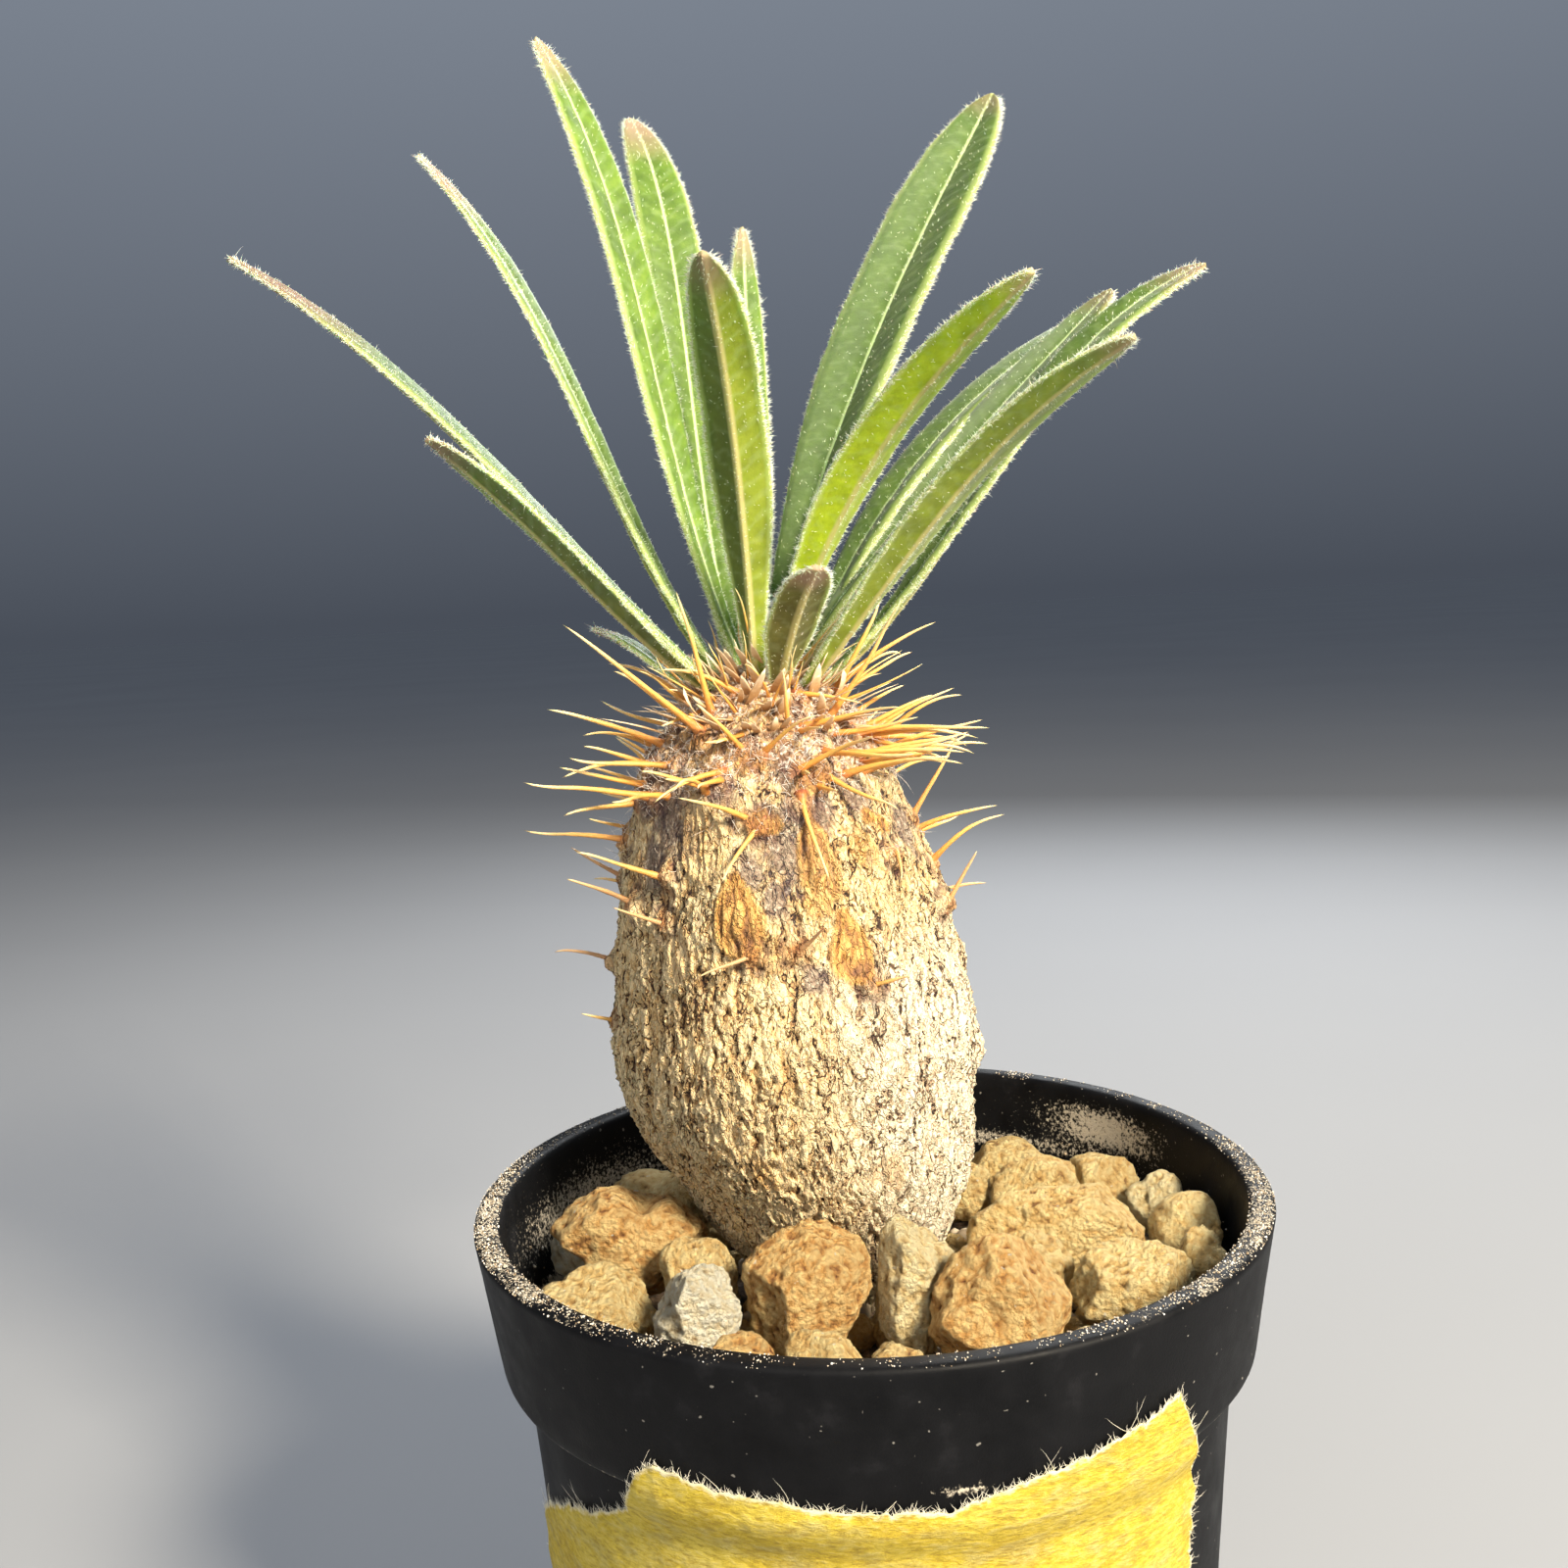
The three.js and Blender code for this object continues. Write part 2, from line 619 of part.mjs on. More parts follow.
// Upper edge of the tape: bearing and height of its torn outline
const TAPE_TOP = [
  [-163, 36.9], [-152, 41.2], [-142, 43.8], [-133, 45.5], [-127, 47.5], [-122, 53.0], [-119, 54.0],
  [-112, 52.7], [-104, 52.8], [-98, 52.2], [-90, 52.0], [-84, 51.8], [-76, 52.8], [-70, 53.5],
  [-64, 54.4], [-57, 55.2], [-50, 56.6], [-46, 52.0], [-42, 48.0], [-39, 45.0],
];

// Lower edge of the tape: straight, rising a little to the right
function tapeBottom(bearing) {
  return 16.5 + 0.115 * (bearing + 163);
}

// Radius of the tape's inner face: it hugs the wall and bridges the collar's step
function tapeRadius(z) {
  const step = POT_HEIGHT - COLLAR_DEPTH;
  const wall = potOuter(Math.min(z, step));
  const lift = smooth((z - (step - 5)) / 5.2);
  const collar = z > step ? potOuter(z) : COLLAR_FOOT_RADIUS;
  return wall + (collar - wall) * lift + TAPE_GAP;
}

// The tape: a thin sheet bent round the pot
function tape() {
  const first = TAPE_TOP[0][0];
  const last = TAPE_TOP[TAPE_TOP.length - 1][0];
  const rings = [];
  for (let i = 0; i <= TAPE_COLUMNS; i += 1) {
    const bearing = first + ((last - first) * i) / TAPE_COLUMNS;
    const top = readRows(TAPE_TOP, bearing);
    const bottom = tapeBottom(bearing);
    const bend = Math.min(45.9, top - 1.2);
    const heights = [];
    for (let k = 0; k <= TAPE_ROWS; k += 1) {
      heights.push(bottom + ((bend - bottom) * k) / TAPE_ROWS);
    }
    heights.push(Math.min(50.7, top - 0.6), top);
    const inner = heights.map((z) => [tapeRadius(z), z]);
    const outer = heights.map((z) => [tapeRadius(z) + TAPE_THICKNESS, z]).reverse();
    rings.push([...inner, ...outer].map(([r, z]) => {
      const a = rad(bearing);
      return new THREE.Vector3(r * Math.cos(a), r * Math.sin(a), z);
    }));
  }
  return skin(rings);
}

// A named mesh with a plain matte finish
function named(name, geometry, color, roughness) {
  geometry.computeVertexNormals();
  const material = new THREE.MeshStandardMaterial({ color, roughness, metalness: 0 });
  const mesh = new THREE.Mesh(geometry, material);
  mesh.name = name;
  return mesh;
}

const group = new THREE.Group();
group.name = 'potted_pachypodium';
group.add(named('pot', pot(), 0x17181b, 0.5));
group.add(named('label_tape', tape(), 0xc9b02c, 0.8));
group.add(named('soil', soil(), 0x7c5f3e, 0.95));

const bodyGeometry = stemBody(0);
const body = toSolid(bodyGeometry);
const spineSolids = [...SPINES, ...farSpines()].map(spine);
const stem = Manifold.union([body, ...spineSolids]);
group.add(named('caudex', toGeometry(stem), 0xb59a72, 0.9));

const crown = toSolid(stemBody(LEAF_GAP));
const placed = [];
for (const leaf of LEAVES) {
  let blade = toSolid(leafBody(leaf, 0)).subtract(crown);
  for (const other of placed) {
    blade = blade.subtract(other);
  }
  placed.push(toSolid(leafBody(leaf, LEAF_GAP)));
  const color = ['leaf_02', 'leaf_06', 'leaf_14'].includes(leaf[0]) ? 0x5d6632 : 0x4f7a34;
  group.add(named(leaf[0], toGeometry(largest(blade)), color, 0.7));
}

const stemPoints = [];
const bodySpots = bodyGeometry.attributes.position;
for (let i = 0; i < bodySpots.count; i += 1) {
  stemPoints.push(new THREE.Vector3().fromBufferAttribute(bodySpots, i));
}
const TONES = [0xb08557, 0xb98d5e, 0xc2a36c, 0xd9cdb6, 0x9a7046, 0xa97b4c, 0xc7ab77, 0xb27f4a];
stones(stemPoints).forEach((stone, i) => {
  const name = `stone_${String(i + 1).padStart(2, '0')}`;
  group.add(named(name, stoneGeometry(stone), TONES[i % TONES.length], 0.95));
});

export default group;
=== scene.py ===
# %% [markdown]
# # A potted Pachypodium gracilius
#
# The real object is a young plant with a swollen, spiny stem, in a black plastic nursery pot with a
# layer of rough stones and a torn strip of yellow paper tape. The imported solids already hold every
# main form and its place. This lesson dresses them: each piece is a surface worked out with numpy in
# millimetres, filled into a mesh, and given a finish of procedural nodes.

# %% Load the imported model
import json
import math

import bmesh
import bpy
import numpy as np
from mathutils import Matrix, Vector

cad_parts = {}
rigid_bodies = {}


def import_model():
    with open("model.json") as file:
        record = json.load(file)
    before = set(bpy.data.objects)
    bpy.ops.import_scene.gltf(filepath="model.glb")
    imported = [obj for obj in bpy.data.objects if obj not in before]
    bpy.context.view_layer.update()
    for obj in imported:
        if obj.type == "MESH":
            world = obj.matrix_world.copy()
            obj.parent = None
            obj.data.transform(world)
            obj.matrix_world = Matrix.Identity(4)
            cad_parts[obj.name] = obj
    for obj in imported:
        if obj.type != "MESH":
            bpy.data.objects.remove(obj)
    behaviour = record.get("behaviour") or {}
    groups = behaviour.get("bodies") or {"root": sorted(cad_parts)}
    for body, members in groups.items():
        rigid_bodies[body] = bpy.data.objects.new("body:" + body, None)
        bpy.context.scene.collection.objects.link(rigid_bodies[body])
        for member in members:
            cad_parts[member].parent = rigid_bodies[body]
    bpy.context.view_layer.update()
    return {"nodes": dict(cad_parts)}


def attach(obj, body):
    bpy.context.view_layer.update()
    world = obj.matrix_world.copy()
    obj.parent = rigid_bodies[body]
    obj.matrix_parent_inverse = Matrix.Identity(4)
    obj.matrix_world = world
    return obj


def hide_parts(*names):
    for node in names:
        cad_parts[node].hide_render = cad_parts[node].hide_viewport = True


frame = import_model()
cad_names = {o.name for o in bpy.data.objects}
print("solids in the frame:", len(frame["nodes"]))

# %% [markdown]
# ## Camera, floor and light
#
# A close picture of a small thing is taken from about 16 cm with a wide lens, so the near rim looks
# larger than the far one. The camera is therefore placed where the picture was taken, and isn't moved
# back with a longer lens. The floor is a plain pale sheet. A small warm lamp from the right draws the
# shadows, a wider one behind the plant makes the leaves and hairs glow, a broad soft one fills the
# front, and the sky fills the rest. The sky is darker low down, as dark as the far floor, so that no
# hard horizon crosses the picture.

# %% Camera
RIGHT = Vector((0.99806465, 0.03663768, -0.05024569))
UP = Vector((0.04560417, 0.1180669, 0.9919579))
FORWARD = Vector((-0.04227538, 0.99232953, -0.11616757))
CAMERA_PLACE = (0, -0.14557, 0.11973)
CAMERA_LENS = 36
SENSOR_WIDTH = 36
camera = bpy.data.objects.new("camera", bpy.data.cameras.new("camera"))
camera.data.lens = CAMERA_LENS
camera.data.sensor_width = SENSOR_WIDTH
camera.data.clip_start = 0.01
turned = Matrix((RIGHT, UP, -FORWARD)).transposed().to_4x4()
camera.matrix_world = Matrix.Translation(CAMERA_PLACE) @ turned
bpy.context.scene.collection.objects.link(camera)
bpy.context.scene.camera = camera
bpy.context.scene.view_settings.view_transform = "Standard"
print("camera", round(camera.location.length * 1000), "mm from the foot of the pot")

# %% Helpers for finishes
def node(tree, kind, inputs=None, **options):
    """Adds a node, sets its options, and fills its sockets with values or with links."""
    made = tree.nodes.new(kind)
    for name, value in options.items():
        setattr(made, name, value)
    for socket, value in (inputs or {}).items():
        if isinstance(value, bpy.types.NodeSocket):
            tree.links.new(value, made.inputs[socket])
        else:
            made.inputs[socket].default_value = value
    return made


def maths(tree, operation, a, b=0.0, c=0.0):
    """One sum, product or other operation on numbers."""
    made = node(tree, "ShaderNodeMath", {0: a, 1: b, 2: c}, operation=operation)
    made.use_clamp = operation == "MULTIPLY_ADD"
    return made.outputs[0]


def weighted(tree, first, *rest):
    """The first value plus each of the others times its weight."""
    for value, weight in rest:
        first = maths(tree, "ADD", first, maths(tree, "MULTIPLY", value, weight))
    return first


def span(tree, value, start, end, low=0.0, high=1.0):
    """Moves a value from between start and end to between low and high, and holds it there."""
    return node(tree, "ShaderNodeMapRange", {0: value, 1: start, 2: end, 3: low, 4: high}).outputs[0]


def blend(tree, share, a, b):
    """The colour a where share is 0 and b where it is 1."""
    made = node(tree, "ShaderNodeMix", {0: share, 6: a, 7: b}, data_type="RGBA")
    return made.outputs[2]


def ramp(tree, value, stops):
    """Colours placed along a value from 0 to 1."""
    made = node(tree, "ShaderNodeValToRGB", {0: value})
    band = made.color_ramp
    while len(band.elements) < len(stops):
        band.elements.new(0.5)
    for element, (at, colour) in zip(band.elements, stops):
        element.position = at
        element.color = (*colour, 1)
    return made.outputs[0]


def fact(tree, name):
    """A number that the mesh keeps for each of its points."""
    return node(tree, "ShaderNodeAttribute", attribute_name=name).outputs["Fac"]


def speckle(tree, scale, detail=3.0, rough=0.55, place=None):
    """Noise from 0 to 1 in the object's own metres; scale is waves per metre."""
    if place is None:
        place = node(tree, "ShaderNodeTexCoord").outputs["Object"]
    settings = {"Vector": place, "Scale": scale, "Detail": detail, "Roughness": rough}
    return node(tree, "ShaderNodeTexNoise", settings).outputs[0]


def new_finish(name, roughness, constants=None):
    """A material with one Principled shader, its roughness and its other constants."""
    finish = bpy.data.materials.new(name)
    finish.use_nodes = True
    shader = finish.node_tree.nodes["Principled BSDF"]
    for socket, value in {"Roughness": roughness, **(constants or {})}.items():
        shader.inputs[socket].default_value = value
    return finish, finish.node_tree, shader


def paint(tree, shader, colour):
    """Links a colour to the shader."""
    tree.links.new(colour, shader.inputs["Base Color"])


def relief(tree, shader, height, strength, distance):
    """Puts a height on the shader's normal; distance is in metres."""
    bump = node(tree, "ShaderNodeBump", {"Height": height, "Strength": strength, "Distance": distance})
    tree.links.new(bump.outputs[0], shader.inputs["Normal"])


print("helpers for finishes: maths, blend, ramp, noise, colour and relief")

# %% Floor, sky and lamps
floor_finish, tree, shader = new_finish("pale floor", 0.9)
paint(tree, shader, ramp(tree, speckle(tree, 3.0), [(0.3, (0.27, 0.278, 0.295)),
                                                    (0.8, (0.295, 0.303, 0.32))]))
FLOOR_SIZE = 30
FLOOR_HEIGHT = -0.0004
bpy.ops.mesh.primitive_plane_add(size=FLOOR_SIZE, location=(0, 0, FLOOR_HEIGHT))
floor = bpy.context.object
floor.name = "floor"
floor.data.materials.append(floor_finish)

sky = bpy.data.worlds.new("sky")
sky.use_nodes = True
tree = sky.node_tree
way = node(tree, "ShaderNodeTexCoord").outputs["Generated"]
height = node(tree, "ShaderNodeSeparateXYZ", {0: way}).outputs[2]
tree.links.new(ramp(tree, height, [(0.0, (0.067, 0.078, 0.0995)), (0.36, (0.205, 0.235, 0.285))]),
               tree.nodes["Background"].inputs[0])
bpy.context.scene.world = sky


def lamp(name, place, aim, size, power, colour):
    """A square lamp at a place, turned to its aim, in metres and watts."""
    light = bpy.data.lights.new(name, "AREA")
    light.size = size
    light.energy = power
    light.color = colour
    made = bpy.data.objects.new(name, light)
    made.location = place
    made.rotation_euler = (Vector(aim) - Vector(place)).to_track_quat("-Z", "Y").to_euler()
    bpy.context.scene.collection.objects.link(made)


lamp("warm key", (0.40, -0.44, 0.50), (0, 0, 0.08), 0.15, 16.0, (1.0, 0.89, 0.71))
lamp("back light", (0.16, 0.50, 0.42), (0, 0, 0.12), 0.30, 3.2, (0.95, 0.98, 1.0))
lamp("soft front", (-0.35, -0.60, 0.45), (0, 0, 0.08), 0.60, 2.1, (1.0, 0.96, 0.90))

# %% [markdown]
# ## Random shapes
#
# Bark, stones and torn edges are irregular, but the lesson has to give the same result each run. Each
# irregularity is a sum of smooth random waves, worked out from the place in space for whole arrays of
# points at once, so neighbouring pieces never repeat each other.

# %% Waves and pits
def smooth(x):
    """A soft step from 0 to 1: t squared times three less two t."""
    t = np.clip(x, 0, 1)
    return t * t * (3 - 2 * t)


def unit(v):
    """Vectors divided by their own length."""
    return v / np.maximum(np.linalg.norm(v, axis=-1, keepdims=True), 1e-9)


def scatter(cell, seed):
    """A number from 0 to 1 for each whole-numbered cell: its numbers times three primes, stirred."""
    n = cell[..., 0] * 73856093 ^ cell[..., 1] * 19349663 ^ cell[..., 2] * 83492791
    n = (n ^ (seed * 2654435761)) & 0xFFFFFFFF
    for _ in range(2):
        n = ((n ^ n >> 16) * 73244475) & 0xFFFFFFFF
    return (n ^ n >> 16) / 4294967295.0


def waves(p, seed=0):
    """Random waves from about -1 to 1: the eight corners of a cell have random slopes, blended."""
    cell = np.floor(p).astype(np.int64)
    part = p - cell
    share = part ** 3 * (part * (part * 6 - 15) + 10)
    total = np.zeros(p.shape[:-1])
    for corner in np.ndindex(2, 2, 2):
        here = np.array(corner)
        weight = np.prod(np.where(here == 1, share, 1 - share), axis=-1)
        slope = np.stack([scatter(cell + here, 3 * seed + k) for k in range(3)], axis=-1)
        total += weight * np.sum((2 * slope - 1) * (part - here), axis=-1)
    return total * 1.6


def layered(p, seed=0, layers=4):
    """Waves on waves, each layer twice as fine and half as strong as the one before."""
    return sum(waves(p * 2 ** k, seed + 7 * k) / 2 ** k for k in range(layers))


def nearest(p, seed=0):
    """Distances to the nearest and the second nearest of the random points, one in each of the 27
    cells around, and the nearest point's own number from 0 to 1."""
    cell = np.floor(p).astype(np.int64)
    first = np.full(p.shape[:-1], 9.0)
    second = first.copy()
    own = np.zeros(p.shape[:-1])
    for step in np.ndindex(3, 3, 3):
        near = cell + np.array(step) - 1
        spot = near + np.stack([scatter(near, seed + k) for k in (11, 12, 13)], axis=-1)
        far = np.linalg.norm(spot - p, axis=-1)
        closer = far < first
        second = np.where(closer, first, np.minimum(second, far))
        own = np.where(closer, scatter(near, seed + 14), own)
        first = np.where(closer, far, first)
    return first, second, own


def pits(p, seed=0):
    """Distance to the nearest random point, so round hollows where it is small."""
    return nearest(p, seed)[0]


def cells(p, seed=0):
    """How much farther the second nearest random point is than the nearest, which is 0 along a net
    of cracks, and the nearest point's own number."""
    first, second, own = nearest(p, seed)
    return second - first, own


sample = waves(np.random.default_rng(1).random((4000, 3)) * 40)
print("waves run from", sample.min().round(2), "to", sample.max().round(2))

# %% Meshes from arrays
def grid(rows, columns, closed=True):
    """Faces of a grid: a point, the next in its row, and the two beyond them in the next row."""
    a = np.arange(rows * columns).reshape(rows, columns)
    b = np.roll(a, -1, axis=1)
    if not closed:
        a, b = a[:, :-1], b[:, :-1]
    return np.stack([a[:-1], b[:-1], b[1:], a[1:]], axis=-1).reshape(-1, 4)


def fan(ring, middle, up):
    """Triangles from a ring of points to one middle point, facing up or down the rows."""
    after = np.roll(ring, -1)
    pair = [ring, after] if up else [after, ring]
    return np.stack([*pair, np.full(len(ring), middle)], axis=-1)


def tube(rows, columns):
    """Faces of a closed tube: its grid, and a fan at each end to the two points that follow."""
    count = rows * columns
    return [grid(rows, columns), fan(np.arange(columns), count, False),
            fan(np.arange(count - columns, count), count + 1, True)]


def around(radius, angle, z):
    """Points at a radius and an angle in radians about an upright axis, at a height."""
    parts = np.broadcast_arrays(radius * np.cos(angle), radius * np.sin(angle), z)
    return np.stack(parts, axis=-1)


def make_piece(name, points, face_sets, finish, slot, **facts):
    """A piece from points in millimetres, arrays of faces, and a number per point for each fact."""
    mesh = bpy.data.meshes.new(name)
    corners = np.concatenate([f.ravel() for f in face_sets]).astype(np.int32)
    counts = np.concatenate([np.full(len(f), f.shape[1]) for f in face_sets])
    starts = (np.cumsum(counts) - counts).astype(np.int32)
    mesh.vertices.add(len(points))
    mesh.vertices.foreach_set("co", (points / 1000).astype(np.float32).ravel())
    mesh.loops.add(len(corners))
    mesh.loops.foreach_set("vertex_index", corners)
    mesh.polygons.add(len(counts))
    mesh.polygons.foreach_set("loop_start", starts)
    mesh.polygons.foreach_set("use_smooth", np.ones(len(counts), bool))
    mesh.update(calc_edges=True)
    for label, values in facts.items():
        kept = mesh.attributes.new(label, "FLOAT", "POINT")
        kept.data.foreach_set("value", np.asarray(values, np.float32).ravel())
    mesh.materials.append(finish)
    piece = bpy.data.objects.new(name, mesh)
    bpy.context.scene.collection.objects.link(piece)
    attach(piece, "root")
    print(name, int((counts - 2).sum()), "triangles")
    return piece


def arcs(foot, go, curl, length, start, steps):
    """Paths along go from the foot, which bend towards curl with the square of the way."""
    s = np.linspace(start, 1, steps)[None, :, None]
    return foot[:, None] + length[:, None, None] * (go[:, None] * s + curl[:, None] * s ** 2)


def square_to(along, first):
    """Two directions square to each given one, turned another way where the first ones are steep."""
    steep = np.abs(first[..., 2:]) > 0.9
    side = unit(np.cross(along, np.where(steep, [1.0, 0, 0], [0, 0, 1.0])))
    return side, np.cross(along, side)


def strands(paths, radii, sides=3, flat=1.0):
    """Tapered rods along many paths: rings square to each path, a middle at the foot, a point at
    the tip. Paths are rods by steps by 3, radii are rods by steps; flat squeezes each ring."""
    count, steps, _ = paths.shape
    along = unit(np.gradient(paths, axis=1))
    side, over = square_to(along, along[:, :1])
    turn = 2 * np.pi * np.arange(sides) / sides
    round_ = side[:, :, None] * np.cos(turn)[:, None]
    round_ = round_ + over[:, :, None] * (flat * np.sin(turn))[:, None]
    rings = (paths[:, :, None] + radii[:, :, None, None] * round_)[:, :-1]
    each = (steps - 1) * sides + 2
    parts = [rings.reshape(count, -1, 3), paths[:, :1], paths[:, -1:]]
    points = np.concatenate(parts, axis=1).reshape(-1, 3)
    last = (steps - 2) * sides + np.arange(sides)
    base = (np.arange(count) * each)[:, None, None]
    ends = np.concatenate([fan(np.arange(sides), each - 2, False), fan(last, each - 1, True)])
    faces = [(ends[None] + base).reshape(-1, 3)]
    if steps > 2:
        faces.append((grid(steps - 1, sides)[None] + base).reshape(-1, 4))
    share = np.linspace(0, 1, steps)
    share = np.concatenate([np.repeat(share[:-1], sides), [0, 1]])
    return points, faces, np.tile(share, count), each


print("grid of 2 by 3 points:", len(grid(2, 3)), "faces")

# %% [markdown]
# ## Dust
#
# Sandy dust lies on the rim of the pot, in its corners and on the stem, and its grain is the same
# everywhere. One shared group paints it: it takes the surface's colour and roughness and an amount, and
# breaks the amount up by noise, so that a little dust is a few specks and much dust is a whole cover.

# %% The dust group
def dust_group():
    """Colour, roughness and height of a surface under grit; Amount is 0 for clean and 1 for full."""
    group = bpy.data.node_groups.new("dust", "ShaderNodeTree")
    for name, kind in (("Color", "Color"), ("Dust Color", "Color"), ("Roughness", "Float"),
                       ("Amount", "Float"), ("Grains per Metre", "Float")):
        group.interface.new_socket(name=name, in_out="INPUT", socket_type="NodeSocket" + kind)
    for name, kind in (("Color", "Color"), ("Roughness", "Float"), ("Height", "Float")):
        group.interface.new_socket(name=name, in_out="OUTPUT", socket_type="NodeSocket" + kind)
    given = node(group, "NodeGroupInput").outputs
    coarse = speckle(group, given["Grains per Metre"], 4.0, 0.7)
    level = maths(group, "ADD", coarse, given["Amount"])
    cover = span(group, level, 1.0, 1.14)
    colour = blend(group, cover, given["Color"], given["Dust Color"])
    rough = maths(group, "MULTIPLY_ADD", cover, 0.5, given["Roughness"])
    out = {"Color": colour, "Roughness": rough, "Height": maths(group, "MULTIPLY", cover, coarse)}
    node(group, "NodeGroupOutput", out)
    return group


DUST = dust_group()


def dusted(tree, colour, rough, amount, dust, grains):
    """Places the dust group over a colour and a roughness."""
    given = {"Color": colour, "Dust Color": dust, "Roughness": rough, "Amount": amount,
             "Grains per Metre": grains}
    return node(tree, "ShaderNodeGroup", given, node_tree=DUST).outputs


print("dust group sockets:", len(DUST.interface.items_tree))

# %% [markdown]
# ## The pot
#
# The pot is a thin injection-moulded shell: a tapered wall, a flared collar with a sharp step under it,
# and a thick rounded rim. A shell like that is a profile turned about its axis. The rim and the inside
# of the collar carry the sand that fell there when the plant was potted, thickest at the front left and
# at the right.

# %% The pot's measures
POT_HEIGHT = 64.0
RIM_RADIUS = 37.5
STEP_HEIGHT = 50.8
COLLAR_FOOT = 35.55
WALL_TOP = 33.5
WALL_FOOT = 29.8
SLOTS = 8
INNER_Z = [2, 50.2, 51.6, 58, 64]
INNER_R = [28.0, 31.8, 33.9, 34.6, 35.04]


def pot_outer(z):
    """Outer radius at a height: one straight taper below the step and another above it."""
    collar = COLLAR_FOOT + (RIM_RADIUS - COLLAR_FOOT) * (z - STEP_HEIGHT) / (POT_HEIGHT - STEP_HEIGHT)
    return np.where(z > STEP_HEIGHT, collar, WALL_FOOT + (WALL_TOP - WALL_FOOT) * z / STEP_HEIGHT)


def pot_inner(z):
    """Inner radius at a height."""
    return np.interp(z, INNER_Z, INNER_R)


def pot_profile():
    """Radius and height along the shell, from the middle of the underside round to the floor."""
    rise = np.linspace(1.4, 50.4, 24)
    collar = np.linspace(51.5, 63.1, 14)
    inside = np.linspace(63.0, 51.8, 14)
    deep = np.linspace(50.0, 2.6, 10)
    return np.array([
        *[(r, 0.0) for r in (0.01, 8, 12, 16, 20, 24, 27.5)], (28.8, 0.03), (29.35, 0.18), (29.7, 0.6),
        *zip(pot_outer(rise), rise), (33.5, 50.72), (33.72, 50.84), (35.15, 50.8), (35.42, 50.88),
        (35.55, 51.1), *zip(pot_outer(collar), collar), (37.42, 63.45), (37.33, 63.7),
        (37.15, 63.88), (36.9, 63.97), (36.5, 64), (36.0, 64), (35.6, 63.97), (35.32, 63.86),
        (35.14, 63.66), (35.06, 63.4), *zip(pot_inner(inside), inside), (33.6, 51.4),
        (32.1, 50.55), (31.8, 50.2), *zip(pot_inner(deep), deep), (27.6, 2.2),
        *[(r, 2.2) for r in (24, 20, 16, 12, 8, 0.01)],
    ])


# %% Turn the profile
def near_angle(bearing, middle, width):
    """A bump of 1 around a bearing, in degrees."""
    away = (bearing - middle + 180) % 360 - 180
    return np.exp(-(away / width) ** 2)


def sand_on_rim(bearing):
    """How thickly sand lies along the rim: most at the front left and the right."""
    heaps = near_angle(bearing, -165, 40) + 0.85 * near_angle(bearing, -22, 34)
    patchy = np.radians(bearing)[..., None] * [9.0, 0, 0] + [0, 3.1, 0]
    return np.clip(0.16 + 0.85 * heaps + 0.5 * waves(patchy, 44) + 0.4 * waves(patchy * 4, 45), 0.04, 1)


def dust_spot(z, bearing, share, middle, width, height, tall, power=2):
    """Sand on a wall: a share that fades away from a bearing in degrees and from a height."""
    return share * near_angle(bearing, middle, width) * np.exp(-((z - height) / tall) ** power)


INNER_SPOTS = [(0.37, 41, 13, 60.0, 2.3, 4), (0.30, 66, 34, 56.6, 0.9), (0.29, 152, 30, 57.0, 3.4)]
OUTER_SPOTS = [(0.42, -80.5, 4.5, 53.3, 0.55), (0.42, -36.5, 1.3, 43.5, 1.3)]
profile = pot_profile()
columns = 300
bearing = np.linspace(0, 360, columns, endpoint=False)
r, z = profile[:, :1], profile[:, 1:]
place = around(r, np.radians(bearing), z)
uneven = 0.05 * waves(place * 0.12, 5) + 0.012 * waves(place * 0.9, 6)
grown = np.where(r > 1, 1 + uneven / np.maximum(r, 1), 1.0)
place[..., :2] *= grown[..., None]
top = smooth((z - 63.45) / 0.4) * sand_on_rim(bearing) * 0.31
inner = (r < pot_outer(z) - 1.0) & (z > 50)
on_ledge = 0.35 * np.exp(-((z - 51.2) / 1.0) ** 2)
lined = inner * (0.08 + on_ledge + sum(dust_spot(z, bearing, *spot) for spot in INNER_SPOTS))
outside = (r > pot_outer(z) - 0.5) & (z < 63)
smeared = outside * sum(dust_spot(z, bearing, *spot) for spot in OUTER_SPOTS)
under_step = np.exp(-((z - 50.85) / 0.35) ** 2) * (r > 33) * 0.25
sandy = np.maximum(np.maximum(top, lined), under_step + smeared) + 0 * bearing
points = np.concatenate([place.reshape(-1, 3), [[0, 0, 0.0], [0, 0, 2.2]]])
faces = tube(len(profile), columns)
print("pot profile:", len(profile), "points")

# %% The pot's finish
pot_finish, tree, shader = new_finish("black plastic", 0.45, {"Specular IOR Level": 0.13})
worn = speckle(tree, 240.0, 5.0, 0.6)
fine = speckle(tree, 5200.0, 2.0)
base = ramp(tree, worn, [(0.35, (0.002, 0.0022, 0.003)), (0.60, (0.0045, 0.0048, 0.006)),
                         (0.8, (0.014, 0.014, 0.0165))])
specks = span(tree, speckle(tree, 1500.0, 1.0), 0.755, 0.78, 0.0, 0.42)
base = blend(tree, specks, base, (0.42, 0.40, 0.36, 1))
rough = span(tree, worn, 0.3, 0.8, 0.46, 0.68)
amount = maths(tree, "ADD", fact(tree, "sandy"), 0.235)
dust = dusted(tree, base, rough, amount, (0.56, 0.50, 0.40, 1), 2600.0)
paint(tree, shader, dust["Color"])
tree.links.new(dust["Roughness"], shader.inputs["Roughness"])
height = maths(tree, "MULTIPLY_ADD", dust["Height"], 0.8, maths(tree, "MULTIPLY", fine, 0.12))
relief(tree, shader, height, 0.5, 0.0003)
